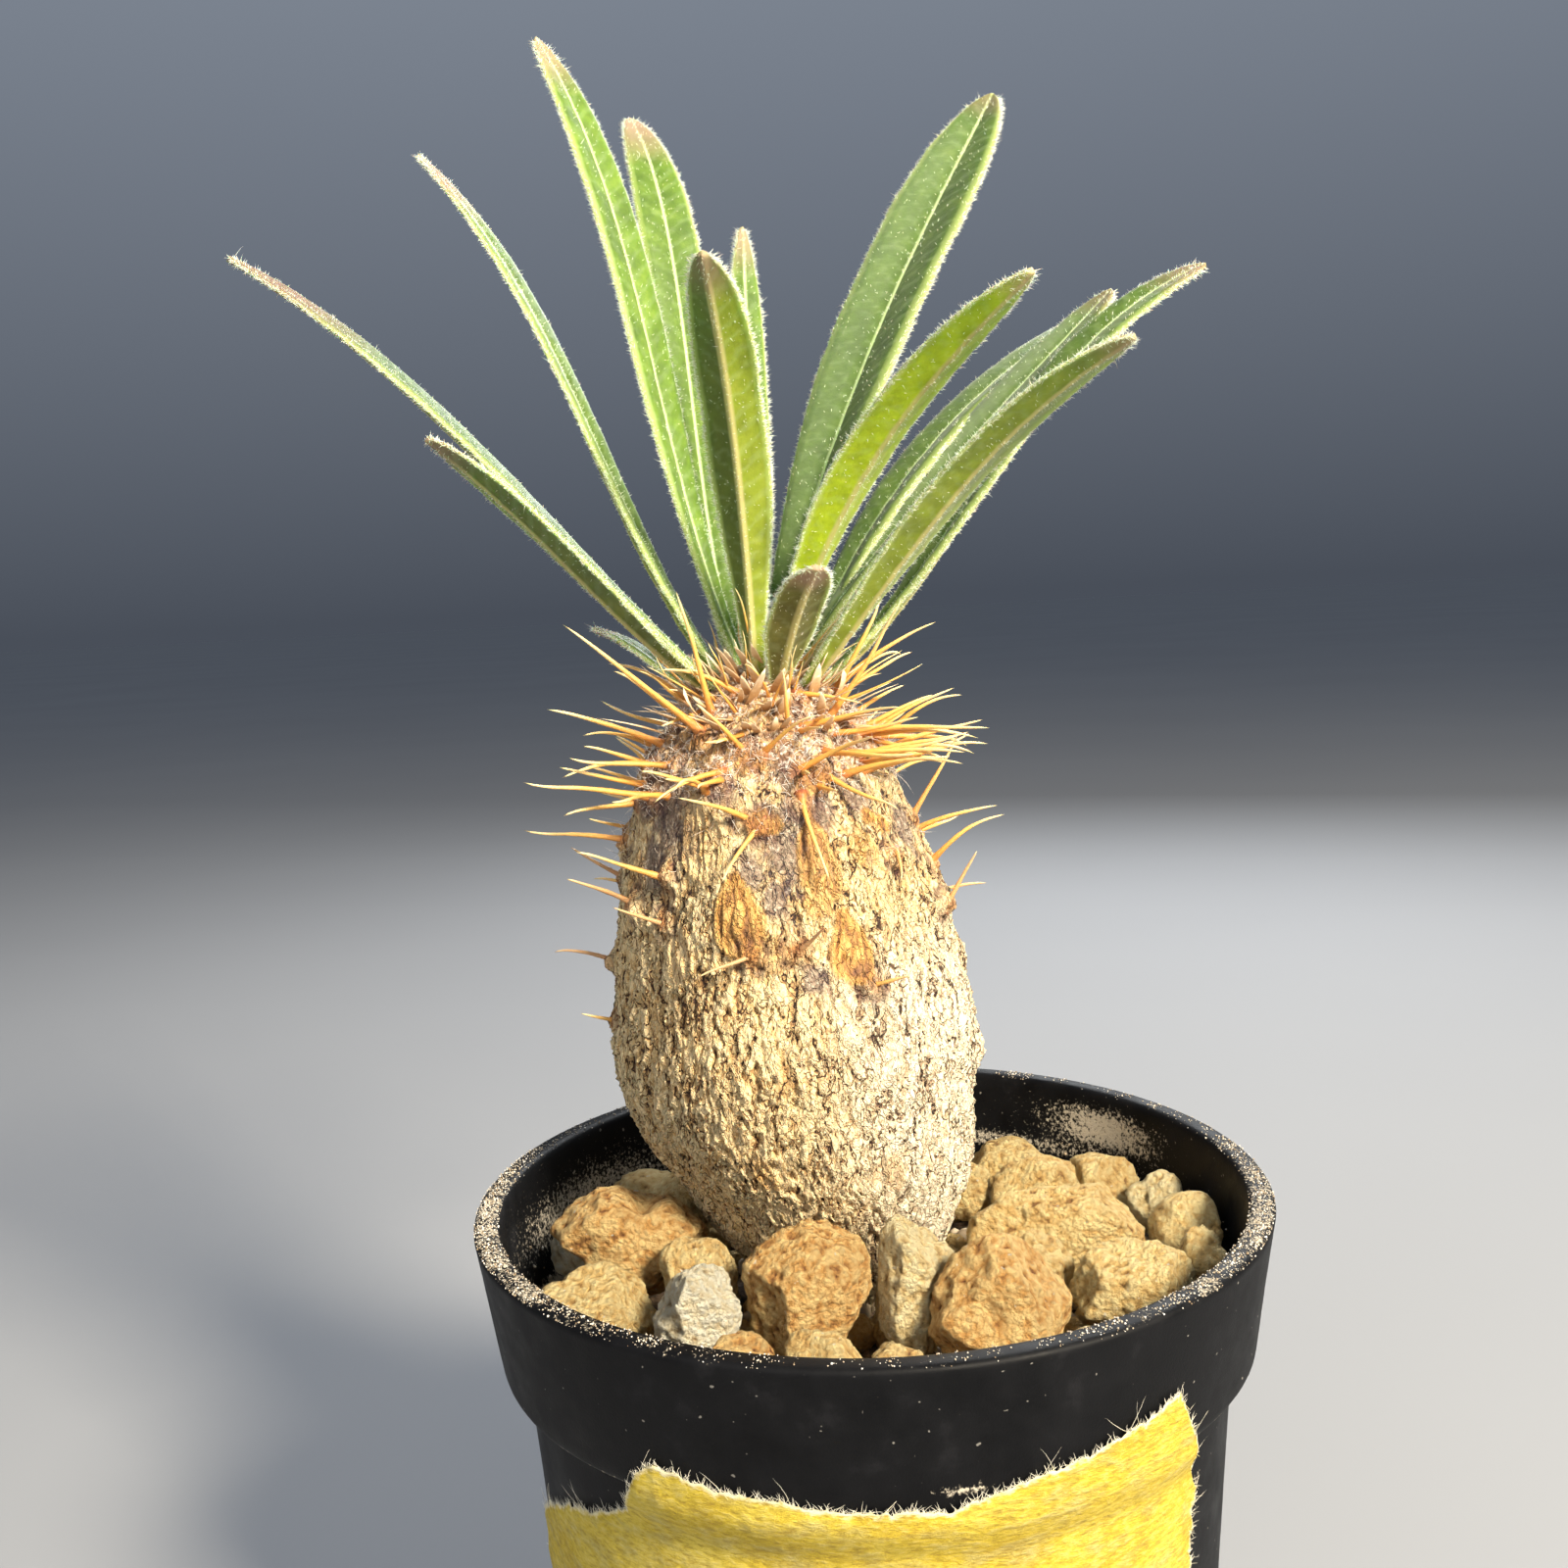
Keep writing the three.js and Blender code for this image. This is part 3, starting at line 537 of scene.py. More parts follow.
pot = make_piece("pot_shell", points, faces, pot_finish, "pot",
                 sandy=np.concatenate([sandy.ravel(), [0, 0]]))
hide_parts("pot")

# %% Drain slots
SLOT_SIZE = (0.008, 0.0034, 0.008, 1)
SLOT_PLACE = (0.0205, 0, 0)
cutter = bmesh.new()
for k in range(SLOTS):
    turned = Matrix.Rotation(math.radians((k + 0.5) * 360 / SLOTS), 4, "Z")
    placed = turned @ Matrix.Translation(SLOT_PLACE) @ Matrix.Diagonal(SLOT_SIZE)
    bmesh.ops.create_cube(cutter, size=1, matrix=placed)
mesh = bpy.data.meshes.new("slots")
cutter.to_mesh(mesh)
cutter.free()
tool = bpy.data.objects.new("slots", mesh)
bpy.context.scene.collection.objects.link(tool)
cut = pot.modifiers.new("slots", "BOOLEAN")
cut.object = tool
cut.solver = "EXACT"
bpy.context.view_layer.update()
done = bpy.data.meshes.new_from_object(pot.evaluated_get(bpy.context.evaluated_depsgraph_get()))
pot.modifiers.clear()
pot.data = done
bpy.data.objects.remove(tool)
print("pot after the slots:", len(done.polygons), "faces")

# %% [markdown]
# ## Loose sand
#
# The sand on the rim is more than a tint: its grains stand up and catch the light. Each grain is a
# twenty-sided lump, squeezed and turned at random. All of them are one mesh, because a thousand objects
# would be slow, and a twentieth of a millimetre needs no more faces.

# %% Grains
def ball(fineness):
    """Points and faces of a sphere of radius 1 from a divided twenty-sided solid."""
    made = bmesh.new()
    bmesh.ops.create_icosphere(made, subdivisions=fineness, radius=1)
    mesh = bpy.data.meshes.new("ball")
    made.to_mesh(mesh)
    made.free()
    points = np.empty(len(mesh.vertices) * 3, np.float32)
    mesh.vertices.foreach_get("co", points)
    corners = np.empty(len(mesh.loops), np.int32)
    mesh.loops.foreach_get("vertex_index", corners)
    bpy.data.meshes.remove(mesh)
    return points.reshape(-1, 3).astype(float), corners.reshape(-1, 3)


def scattered(middles, sizes, draw, fineness=1, uneven=0.25):
    """Copies of one lump at the middles, each squeezed in three random directions and turned."""
    body, faces = ball(fineness)
    count = len(middles)
    squeeze = sizes[:, None] * (1 + uneven * (2 * draw.random((count, 3)) - 1))
    lumps = body[None] * (1 + uneven * (draw.random((count, len(body), 1)) - 0.5))
    lumps = lumps * squeeze[:, None]
    frames = np.linalg.qr(draw.normal(size=(count, 3, 3)))[0]
    frames *= np.sign(np.linalg.det(frames))[:, None, None]
    lumps = np.einsum("nij,nkj->nki", frames, lumps) + middles[:, None]
    index = faces[None] + (np.arange(count) * len(body))[:, None, None]
    return lumps.reshape(-1, 3), index.reshape(-1, 3), np.repeat(draw.random(count), len(body))


RIM_TRIES = 9500
WALL_GRAINS = 420
draw = np.random.default_rng(12)
turn = draw.uniform(-180, 180, RIM_TRIES)
kept = draw.random(RIM_TRIES) < sand_on_rim(turn) ** 1.3
turn = turn[kept]
out = 36.3 + 1.0 * np.clip(draw.normal(0, 0.62, len(turn)), -1.15, 1.05)
size = 0.034 + 0.062 * draw.random(len(turn)) ** 2.5
lift = 64.02 - 0.55 * np.clip(np.abs(out - 36.25) - 0.55, 0, 1) ** 1.5 + 0.3 * size
on_rim = around(out, np.radians(turn), lift)
turn = draw.uniform(0, 2 * np.pi, WALL_GRAINS)
high = draw.uniform(52.0, 57.5, WALL_GRAINS)
middles = np.concatenate([on_rim, around(pot_inner(high) - 0.06, turn, high)])
sizes = np.concatenate([size, 0.06 + 0.16 * draw.random(WALL_GRAINS) ** 2])
points, faces, tone = scattered(middles, sizes, draw)
print("grains:", len(middles))

# %% The sand's finish
sand_finish, tree, shader = new_finish("sand", 0.95)
paint(tree, shader, ramp(tree, fact(tree, "tone"), [
    (0.0, (0.30, 0.21, 0.12)), (0.3, (0.50, 0.42, 0.31)), (0.7, (0.66, 0.61, 0.52)),
    (1.0, (0.84, 0.82, 0.78))]))
relief(tree, shader, speckle(tree, 9000.0), 0.4, 0.0001)
make_piece("rim_sand", points, [faces], sand_finish, "stone_tan", tone=tone)

# %% [markdown]
# ## The paper tape
#
# The label is a strip of crinkled paper masking tape, torn by hand, so its upper edge is ragged and
# fuzzy. It hugs the pot's wall and bridges the hollow under the collar's step. A sheet over bearing and
# height follows both, and its loose fibres are thin rods that start on the torn edge.

# %% The tape's outline
TAPE_TOP = np.array([
    [-163, 36.9], [-152, 41.2], [-142, 43.8], [-133, 45.5], [-127, 47.5], [-122, 53.0], [-119, 54.0],
    [-112, 52.7], [-104, 52.8], [-98, 52.2], [-90, 52.0], [-84, 51.8], [-76, 52.8], [-70, 53.5],
    [-64, 54.4], [-57, 55.2], [-50, 56.6], [-46, 52.0], [-42, 48.0], [-39, 45.0],
])
TAPE_THICKNESS = 0.3


def tape_radius(z):
    """Radius of the inner face: the wall's, rising softly to the collar's over the step."""
    wall = pot_outer(np.minimum(z, STEP_HEIGHT))
    collar = np.where(z > STEP_HEIGHT, pot_outer(z), COLLAR_FOOT)
    return wall + (collar - wall) * smooth((z - STEP_HEIGHT + 5) / 5.2) + 0.2


def tape_sheet(across, up):
    """Point of the tape at a share along it and a share up it, with ragged top and ends."""
    ends = TAPE_TOP[0, 0], TAPE_TOP[-1, 0]
    turn = ends[0] + (ends[1] - ends[0]) * across
    flat = np.stack([turn, 40 * up, 0 * turn], axis=-1)
    ragged = 1.6 * waves(flat * [0, 0.35, 0] + [3.3, 0, 8.1], 9) + 0.7 * waves(flat * [0, 1.3, 0], 10)
    turn = turn + ragged * (smooth((across - 0.965) / 0.035) + smooth((0.03 - across) / 0.03))
    line = np.stack([turn, 0 * turn, 0 * turn], axis=-1)
    tear = 0.42 * waves(line * 0.31 + 2.2, 3) + 0.26 * waves(line * 1.1 + 5.5, 4)
    tear += 0.14 * waves(line * 3.7 + 1.5, 8)
    high = np.interp(turn, TAPE_TOP[:, 0], TAPE_TOP[:, 1]) + tear
    low = 16.5 + 0.115 * (turn + 163)
    z = low + (high - low) * up
    lifted = 0.10 * waves(np.stack([turn * 0.16, z * 0.35, 0 * z], axis=-1), 14)
    lifted += 0.06 * waves(np.stack([turn * 0.7, z * 0.5, 0 * z], axis=-1), 15)
    return turn, z, tape_radius(z) + 0.12 + lifted


columns, rows = 340, 34
across = np.linspace(0, 1, columns)[None, :]
up = (1 - (1 - np.linspace(0, 1, rows)) ** 1.5)[:, None]
turn, z, r = tape_sheet(across + 0 * up, up + 0 * across)
thin = TAPE_THICKNESS * (0.35 + 0.65 * smooth((1 - up) / 0.03))
skins = [around(r + out * thin, np.radians(turn), z) for out in (0.5, -0.5)]
edge_far = np.minimum((1 - up) * 22 + 0 * across, np.minimum(across, 1 - across) * 75 + 0 * up)
points = np.concatenate([skins[0], skins[1][::-1]]).reshape(-1, 3)
outer = grid(2 * rows, columns, closed=False)
closing = grid(2, columns, closed=False)
closing = np.where(closing < columns, closing + (2 * rows - 1) * columns, closing - columns)
number = np.arange(2 * rows * columns).reshape(2 * rows, columns)
sides = []
for column, flip in ((0, True), (columns - 1, False)):
    front = number[:rows, column]
    back = number[::-1][:rows, column]
    quad = np.stack([front[:-1], back[:-1], back[1:], front[1:]], axis=-1)
    sides.append(quad[:, ::-1] if flip else quad)
worn_edge = np.concatenate([edge_far, edge_far[::-1]]).ravel()
print("tape height at its tallest:", round(float(z.max() - z.min()), 1), "mm")

# %% The tape's finish
tape_finish, tree, shader = new_finish("yellow paper", 0.78)
place = node(tree, "ShaderNodeTexCoord").outputs["Object"]
stretched = node(tree, "ShaderNodeMapping", {"Vector": place, "Scale": (1.0, 1.0, 2.6),
                                            "Rotation": (0, 0.35, 0)}).outputs[0]
cloudy = speckle(tree, 120.0, 4.0, 0.6)
fibre = speckle(tree, 900.0, 6.0, 0.72, stretched)
blotch = speckle(tree, 260.0, 5.0, 0.65, stretched)
colour = ramp(tree, cloudy, [(0.25, (0.47, 0.32, 0.014)), (0.5, (0.61, 0.45, 0.026)),
                             (0.75, (0.71, 0.57, 0.09))])
grey = span(tree, blotch, 0.48, 0.66, 0.0, 0.6)
dark = span(tree, fibre, 0.5, 0.36, 0.0, 0.75)
light = span(tree, fibre, 0.5, 0.75, 0.0, 0.5)
torn = span(tree, weighted(tree, fact(tree, "edge"), (fibre, -1.3)), -0.66, -0.34, 0.7, 0.0)
for share, over in ((grey, (0.40, 0.34, 0.13, 1)), (dark, (0.36, 0.24, 0.024, 1)),
                    (light, (0.80, 0.71, 0.32, 1)), (torn, (0.9, 0.85, 0.66, 1))):
    colour = blend(tree, share, colour, over)
paint(tree, shader, colour)
relief(tree, shader, maths(tree, "ADD", fibre, blotch), 0.7, 0.0005)
tape = make_piece("tape_strip", points, [outer, closing, *sides], tape_finish, "tape", edge=worn_edge)
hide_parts("label_tape")

# %% Loose fibres of the torn edge
draw = np.random.default_rng(31)
count = 1300
start = draw.random(count)
height_at = np.where(draw.random(count) < 0.84, 1.0, draw.random(count))
start = np.where(height_at < 1, np.where(draw.random(count) < 0.7, 1.0, 0.0), start)
turn, z, r = tape_sheet(start, height_at)
a = np.radians(turn)
foot = around(r, a, z)
outward = around(1.0, a, 0.0)
sideways = np.cross([0, 0, 1.0], outward)
rise = np.where(height_at < 1, 0.1, 1.0)[:, None] * [[0, 0, 1.0]]
swing = np.where(height_at < 1, np.where(start > 0.5, 1.0, -1.0), 0)[:, None] * sideways
go = unit(rise + swing + 0.9 * sideways * draw.normal(size=(count, 1))
          + outward * (0.15 + 0.25 * draw.normal(size=(count, 1))))
length = 0.25 + 0.75 * draw.random(count) ** 2.2 + 2.4 * (draw.random(count) > 0.985)
bend = unit(np.cross(go, outward)) * draw.normal(0, 0.35, (count, 1))
paths = arcs(foot, go, bend, length, -0.25, 5)
radii = 0.026 * (1 - 0.7 * np.linspace(0, 1, 5))[None] * np.ones((count, 1))
points, faces, along, _ = strands(paths, radii)
fuzz_finish, tree, shader = new_finish("paper fibre", 0.85)
paint(tree, shader, ramp(tree, fact(tree, "along"), [(0.0, (0.84, 0.72, 0.3)),
                                                     (0.5, (0.92, 0.88, 0.74))]))
make_piece("tape_fibres", points, faces, fuzz_finish, "tape", along=along)

# %% [markdown]
# ## The fill
#
# Under the stones the pot is full of a dark mix of baked clay and pumice. Only a little of it is seen,
# in the gaps between stones, so one closed bulk carries a rough top, and small loose grains lie on it.

# %% The mix
SOIL_TOP = 51.8
TOP_ROWS = 58
soil_r = np.concatenate([np.linspace(0.3, 31.1, TOP_ROWS), [31.35, 31.2, 29.9, 27.6, 27.3]])
soil_z = np.concatenate([np.full(TOP_ROWS, SOIL_TOP), [51.2, 49.6, 26.0, 3.2, 2.6]])
columns = 170
a = np.linspace(0, 2 * np.pi, columns, endpoint=False)
place = around(soil_r[:, None], a, soil_z[:, None])
top = place[:TOP_ROWS]
rough = 0.5 * layered(top * 0.45, 21, 3) - 0.5 * np.clip(0.5 - pits(top * 0.8, 4), 0, 1)
top[..., 2] += np.clip(rough - 0.1, -0.9, 0.35) * smooth((31.4 - soil_r[:TOP_ROWS]) / 2)[:, None]
points = np.concatenate([place.reshape(-1, 3), [[0, 0, SOIL_TOP], [0, 0, 2.6]]])
faces = [part[:, ::-1] for part in tube(len(soil_r), columns)]
soil_finish, tree, shader = new_finish("potting mix", 0.95)
paint(tree, shader, ramp(tree, speckle(tree, 900.0, 6.0, 0.7), [
    (0.3, (0.035, 0.022, 0.013)), (0.5, (0.11, 0.07, 0.04)), (0.68, (0.3, 0.2, 0.11))]))
relief(tree, shader, speckle(tree, 2600.0, 4.0), 0.8, 0.0004)
soil = make_piece("potting_mix", points, faces, soil_finish, "soil")
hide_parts("soil")

# %% Small loose grains
draw = np.random.default_rng(57)
count = 460
far = 30.6 * np.sqrt(draw.random(count))
turn = draw.uniform(0, 2 * np.pi, count)
size = 0.35 + 0.75 * draw.random(count) ** 2
middles = around(far, turn, SOIL_TOP + 0.15 + 0.6 * size)
points, faces, tone = scattered(middles, size, draw, 2, 0.3)
make_piece("small_grains", points, [faces], sand_finish, "stone_ochre", tone=tone * 0.62)

# %% [markdown]
# ## The stem
#
# The stem is a barrel that stores water. Its bark splits into thin papery ridges that run upwards, and
# where leaves fell it keeps petal-shaped scars and cushions with a pair of spines. The barrel is a stack
# of rings. The bark is real relief on it, because it shows on the outline and throws its own shadows:
# plates and flakes parted by cracks, with crests that run up over both. The relief is kept on the mesh
# as numbers, and the finish turns those into colour: brown in the clefts, darkened further there as
# painted shade, cream on the crests and orange in the scars. The front right, which faces the key lamp,
# is painted paler as painted light, and rings of painted shade lie round the spine cushions. Lines too
# thin for the mesh wind through the finish, dark as painted shade in the finest cracks.

# %% The barrel
STEM = np.array([
    [48.0, -2.0, 4.4, 2.6], [50.0, -2.2, 4.5, 5.6], [54.0, -2.6, 4.6, 8.9], [58.8, -3.3, 4.7, 11.6],
    [63.7, -3.9, 4.8, 14.0], [67.0, -5.1, 4.8, 15.6], [70.2, -5.9, 4.9, 16.7], [73.5, -6.2, 4.9, 17.2],
    [77.9, -6.5, 5.0, 17.6], [81.8, -6.6, 5.0, 17.2], [86.4, -7.0, 5.1, 16.4], [90.5, -7.1, 5.1, 15.8],
    [94.5, -7.6, 5.2, 14.8], [98.3, -8.0, 5.2, 13.9], [102.4, -8.4, 5.3, 12.7],
    [105.0, -8.3, 5.3, 11.8], [108.1, -8.2, 5.4, 9.6], [111.0, -8.0, 5.4, 6.6],
    [113.0, -8.0, 5.4, 4.0], [114.0, -8.0, 5.4, 1.6],
])
KNOBS = np.array([
    [-8, 76, 1.0], [4, 85, 0.8], [-12, 91, 0.9], [-40, 95, 0.8], [-62, 86, 0.6], [-98, 92, 0.7],
    [-128, 96, 0.9], [-146, 92, 0.8], [-172, 86, 0.8], [-170, 97, 0.8], [30, 90, 0.8], [62, 84, 0.7],
    [95, 92, 0.8], [128, 87, 0.7], [150, 95, 0.9], [-75, 101, 0.9], [-105, 103, 0.9], [-20, 103, 0.9],
    [20, 99, 0.9], [78, 102, 0.9], [120, 101, 0.8],
])


def stem_radius(z, bearing):
    """Radius at a height and a bearing in degrees: the barrel, three slow waves and the knobs."""
    base = np.interp(z, STEM[:, 0], STEM[:, 3])
    a = np.radians(bearing)
    fade = smooth((z - 50) / 8) * smooth((112 - z) / 8)
    r = base + 0.28 * fade * np.sin(3 * a + 0.055 * z + 1.1)
    r = r + 0.2 * fade * np.sin(7 * a - 0.05 * z + 0.4)
    r = r + 0.16 * fade * np.sin(0.42 * z + 2 * np.sin(2 * a))
    for at, height, rise in KNOBS:
        turn = (bearing - at + 180) % 360 - 180
        across = np.radians(turn) * base / 2.3
        r = r + rise * np.exp(-across ** 2 - ((z - height) / 1.9) ** 2)
    return r


def stem_point(z, bearing, out=0.0):
    """Point on the stem at a height and a bearing, a distance out from its skin."""
    x = np.interp(z, STEM[:, 0], STEM[:, 1])
    y = np.interp(z, STEM[:, 0], STEM[:, 2])
    r = stem_radius(z, bearing) + out
    a = np.radians(bearing)
    return np.stack([x + r * np.cos(a), y + r * np.sin(a), z + 0 * a], axis=-1)


CROWN = np.array([-8.0, 5.4, 0.0])


def crown_point(far, turn):
    """Point on the crown at a distance and an angle from its middle, lower the farther out."""
    level = np.interp(far, [1.6, 4, 6.6, 9.6, 11.8], [114, 113, 111, 108.1, 105])
    return around(far, turn, level) + CROWN


print("barrel:", len(STEM), "rings and", len(KNOBS), "knobs")

# %% Spines: height, bearing, length, swing from straight out, lift
SPINES = [
    [109.6, -123, 11.8, -12, 72], [106.7, -98, 6.6, -40, 42], [108.0, -122, 15.5, -30, 40],
    [110.5, -168, 8.6, -4, 28], [111.3, -112, 7.6, -48, 22], [109.2, 172, 8.0, 6, 38],
    [106.9, -150, 11.4, -10, 23], [106.2, -178, 6.8, 6, 14], [105.2, -134, 9.8, -22, 8],
    [104.9, -154, 8.2, -4, -3], [102.3, -142, 12.2, -16, 9], [101.6, -156, 7.6, 4, -2],
    [104.5, -106, 6.8, -38, -14], [100.5, -94, 7.8, -46, 22], [100.0, -90, 6.8, -36, -36],
    [97.8, -166, 9.4, -6, 7], [98.6, -176, 4.0, 12, 18], [95.4, -130, 9.0, -22, 24],
    [93.6, -178, 6.0, 8, 34], [92.4, -148, 6.8, -14, 27], [91.2, -132, 5.2, -18, 24],
    [85.9, -172, 5.6, -4, 16], [80.4, -168, 3.4, -6, 15], [88.9, -98, 5.4, -50, -10],
    [108.4, -73, 6.0, -18, 62], [108.9, -42, 12.8, 18, 55], [110.6, -12, 11.2, 10, 60],
    [110.8, -54, 5.6, 30, -8], [108.6, 8, 5.4, 12, 26], [108.2, -62, 9.2, 36, 10],
    [107.4, -10, 7.2, 16, 24], [107.0, -28, 12.4, 20, 1], [105.6, 6, 8.4, -8, 30],
    [105.0, -6, 9.8, 12, 14], [105.4, -42, 10.4, 26, 0], [98.6, -4, 8.6, 8, 58],
    [106.2, -16, 8.4, -12, -12], [106.2, -86, 7.0, 44, 30], [104.4, -72, 9.4, 38, 20],
    [104.3, -60, 8.2, 32, -22], [94.0, -6, 8.0, 4, 33], [90.4, -14, 5.8, 16, 58],
    [101.8, -72, 7.6, 12, -58], [96.0, -38, 4.0, -46, -26], [89.2, -84, 4.8, 40, 36],
    [85.8, -62, 3.8, 36, 16],
]


def repeatable(seed):
    """The solids' own repeatable draw: a counter stirred by shifts and products, from 0 to 1."""
    state = seed

    def one():
        nonlocal state
        state = (state + 0x6D2B79F5) & 0xFFFFFFFF
        t = state
        t = ((t ^ t >> 15) * (t | 1)) & 0xFFFFFFFF
        t ^= (t + ((t ^ t >> 7) * (t | 61) & 0xFFFFFFFF)) & 0xFFFFFFFF
        return (t ^ t >> 14) / 4294967296

    return one


def far_spines():
    """Pairs of spines on the far side, thinning out down the stem."""
    one = repeatable(41)
    made = []
    for i in range(21):
        z = 110.6 - 26 * (i / 21) ** 1.25
        bearing = 14 + 150 * ((i * 0.618) % 1)
        length = 10.5 - 5.5 * (i / 21) + 2.5 * (one() - 0.5)
        lift = 34 - 1.2 * i + 16 * (one() - 0.5)
        made.append([z, bearing - 5, length, -22 + 10 * one(), lift])
        made.append([z - 0.5, bearing + 5, length * (0.75 + 0.3 * one()), 22 - 10 * one(), lift - 10])
    return [s for s in made if s[0] > 84 and s[1] < 166]


spine_rows = np.array(SPINES + far_spines())
print("spines:", len(spine_rows))

# %% Scars: bearing, height, width, length, orange share
SCARS = np.array([
    [-101, 92.4, 4.6, 8.0, 1.0], [-66.6, 89.3, 3.8, 7.0, 1.0], [-71.3, 97.0, 3.8, 8.6, 0.85],
    [-73.6, 93.4, 2.6, 3.6, 0.8], [-90.5, 89.0, 2.6, 3.4, 0.6], [-113, 99.4, 4.6, 9.0, 0.35],
    [-88, 100.4, 3.2, 2.6, 0.9], [-65.7, 103.6, 3.6, 3.0, 0.9], [-92.4, 105.6, 2.6, 2.4, 1.0],
    [-86, 109.2, 4.6, 3.0, 0.7], [-37.8, 99.0, 2.0, 1.8, 1.0], [-44, 99.9, 2.0, 1.8, 1.0],
    [-116, 107.6, 4.4, 3.4, 0.95], [-52, 97.6, 2.8, 4.4, 0.7], [-48, 92.4, 3.0, 5.0, 0.3],
    [-124, 89.0, 3.4, 6.0, 0.25], [-62, 68.6, 1.8, 4.6, 0.5], [-103, 69.0, 2.2, 4.0, 0.55],
    [-150, 95.0, 3.2, 5.0, 0.4], [10, 94.0, 3.6, 6.0, 0.6], [48, 98.0, 4.0, 6.5, 0.7],
    [85, 91.0, 4.2, 7.0, 0.7], [118, 97.0, 4.0, 7.0, 0.6], [150, 90.0, 3.6, 6.0, 0.6],
    [35, 86.0, 3.4, 5.5, 0.4], [100, 104.0, 3.4, 3.0, 0.9], [60, 105.0, 3.4, 3.0, 0.9],
    [-170, 103.0, 3.0, 3.0, 0.8], [20, 104.5, 3.2, 2.8, 0.8],
])
PATCHES = np.array([
    [-83, 98.4, 3.4], [-130, 100.5, 3.6], [-149, 102.4, 2.6], [-66, 101.6, 2.2], [-106, 103.6, 2.0],
    [-46, 101.6, 2.2], [-88, 93.6, 1.7], [-140, 96.5, 2.4], [-96, 96.0, 1.6], [-75, 105.2, 1.6],
    [-20, 98.0, 2.6], [12, 100.0, 3.0], [52, 102.0, 3.0], [90, 98.0, 3.2], [132, 101.0, 3.2],
    [165, 97.0, 2.8], [-78, 86.4, 1.4],
])


def on_skin(z, bearing, at, height):
    """Millimetres across and up from a spot on the stem."""
    base = np.interp(height, STEM[:, 0], STEM[:, 3])
    turn = (bearing - at + 180) % 360 - 180
    return np.radians(turn) * base, z - height


def diamonds(z, bearing, place):
    """For each point the nearest scar: 1 inside and 0 outside, how orange it is, and its lines. A
    scar is a petal, widest below its middle, with a raised rim and lines that meet at its ends."""
    inside = np.zeros(z.shape)
    orange = np.zeros(z.shape)
    grooves = np.zeros(z.shape)
    uneven = 0.3 * waves(place * [0.8, 0.8, 0.4], 81) + 0.12 * waves(place * 2.2, 82)
    wobble = 1.1 * waves(place * [1.1, 1.1, 0.35], 83)
    for at, height, width, length, share in SCARS:
        x, y = on_skin(z, bearing, at, height)
        x = x + uneven
        v = np.clip(y / length + 0.5, 0, 1)
        half = width * 1.31 * v ** 0.55 * (1 - v) ** 0.9 + 0.02
        reach_ = np.abs(x) / half
        here = smooth((1.12 - reach_) / 0.24) * smooth(np.minimum(v, 1 - v) * 30)
        rim = np.exp(-((reach_ - 0.93) / 0.13) ** 2)
        lines = (0.5 + 0.5 * np.cos(2 * np.pi * (0.36 * width * x / half + wobble + at))) ** 1.7
        inside = np.maximum(inside, here)
        orange = np.maximum(orange, here * share)
        grooves = np.maximum(grooves, here * np.maximum(rim, 0.85 * lines))
    return inside, orange, grooves


print("scars:", len(SCARS), "grey patches:", len(PATCHES))

# %% Bark relief
def crests(p, seed, sharp):
    """1 where a random wave crosses zero and falling off on both sides, so thin winding lines."""
    return (1 - np.clip(np.abs(waves(p, seed)) * sharp, 0, 1)) ** 1.5


def bark(place, z, bearing):
    """Height of the bark. Random points stretched along the stem part it into plates with cracks
    between them, a finer set parts the plates into flakes, and winding crests run up over both.
    Scars are raised and lined, patches smoothed, and each flake has a level of its own."""
    wander = np.stack([waves(place * [0.2, 0.2, 0.1], k) for k in (51, 52, 53)], axis=-1)
    curl = np.stack([waves(place * [1.0, 1.0, 0.7], k) for k in (54, 55, 56)], axis=-1)
    sway = place + 2.0 * wander + 0.8 * curl
    gap, plate = cells(sway * [0.58, 0.58, 0.13], 61)
    fine_gap, flake = cells((sway + 0.3 * curl) * [1.1, 1.1, 0.18], 62)
    crack = 1 - smooth(gap / 0.13)
    split = 1 - smooth(fine_gap / 0.2)
    crest = crests(sway * [0.85, 0.85, 0.12], 66, 3.2)
    wrinkle = crests((sway + 0.4 * curl) * [1.5, 1.5, 0.19], 67, 2.3)
    crumb = layered(place * [1.9, 1.9, 0.5], 63, 2)
    smoother = np.zeros(z.shape)
    for at, height, size in PATCHES:
        x, y = on_skin(z, bearing, at, height)
        smoother = np.maximum(smoother, np.exp(-(x / size) ** 2 - (y / (1.25 * size)) ** 2))
    smoother = smooth(smoother * 1.7 + 0.6 * layered(place * 0.6, 64, 3) - 0.35)
    inside, orange, grooves = diamonds(z, bearing, place)
    strong = 1 - 0.5 * smooth((z - 92) / 9)
    height = 0.34 * crest + 0.24 * wrinkle + 0.16 * (plate - 0.5) + 0.08 * (flake - 0.5)
    height = strong * (height - 0.21 * crack - 0.07 * split) + 0.035 * crumb
    height = height * (1 - 0.6 * smoother) * (1 - 0.75 * inside)
    height = height + inside * (0.1 + 0.36 * grooves)
    fade = smooth((z - 49) / 4) * smooth((113.6 - z) / 2.5)
    # Tone is lighter on crests and flakes and darker in the cracks and splits; the darkening there is
    # painted shade as well as the bark's own browner clefts.
    tone = 0.54 + 0.24 * crest + 0.20 * wrinkle + 0.14 * (plate - 0.5) + 0.16 * (flake - 0.5)
    tone = tone + 0.12 * crumb - (0.38 * crack + 0.16 * split) * (1 - inside)
    tone = tone + 0.14 * smooth((82 - z) / 18)
    tone = np.clip(tone, 0, 1)
    return height * fade, tone, smoother, orange, grooves, inside


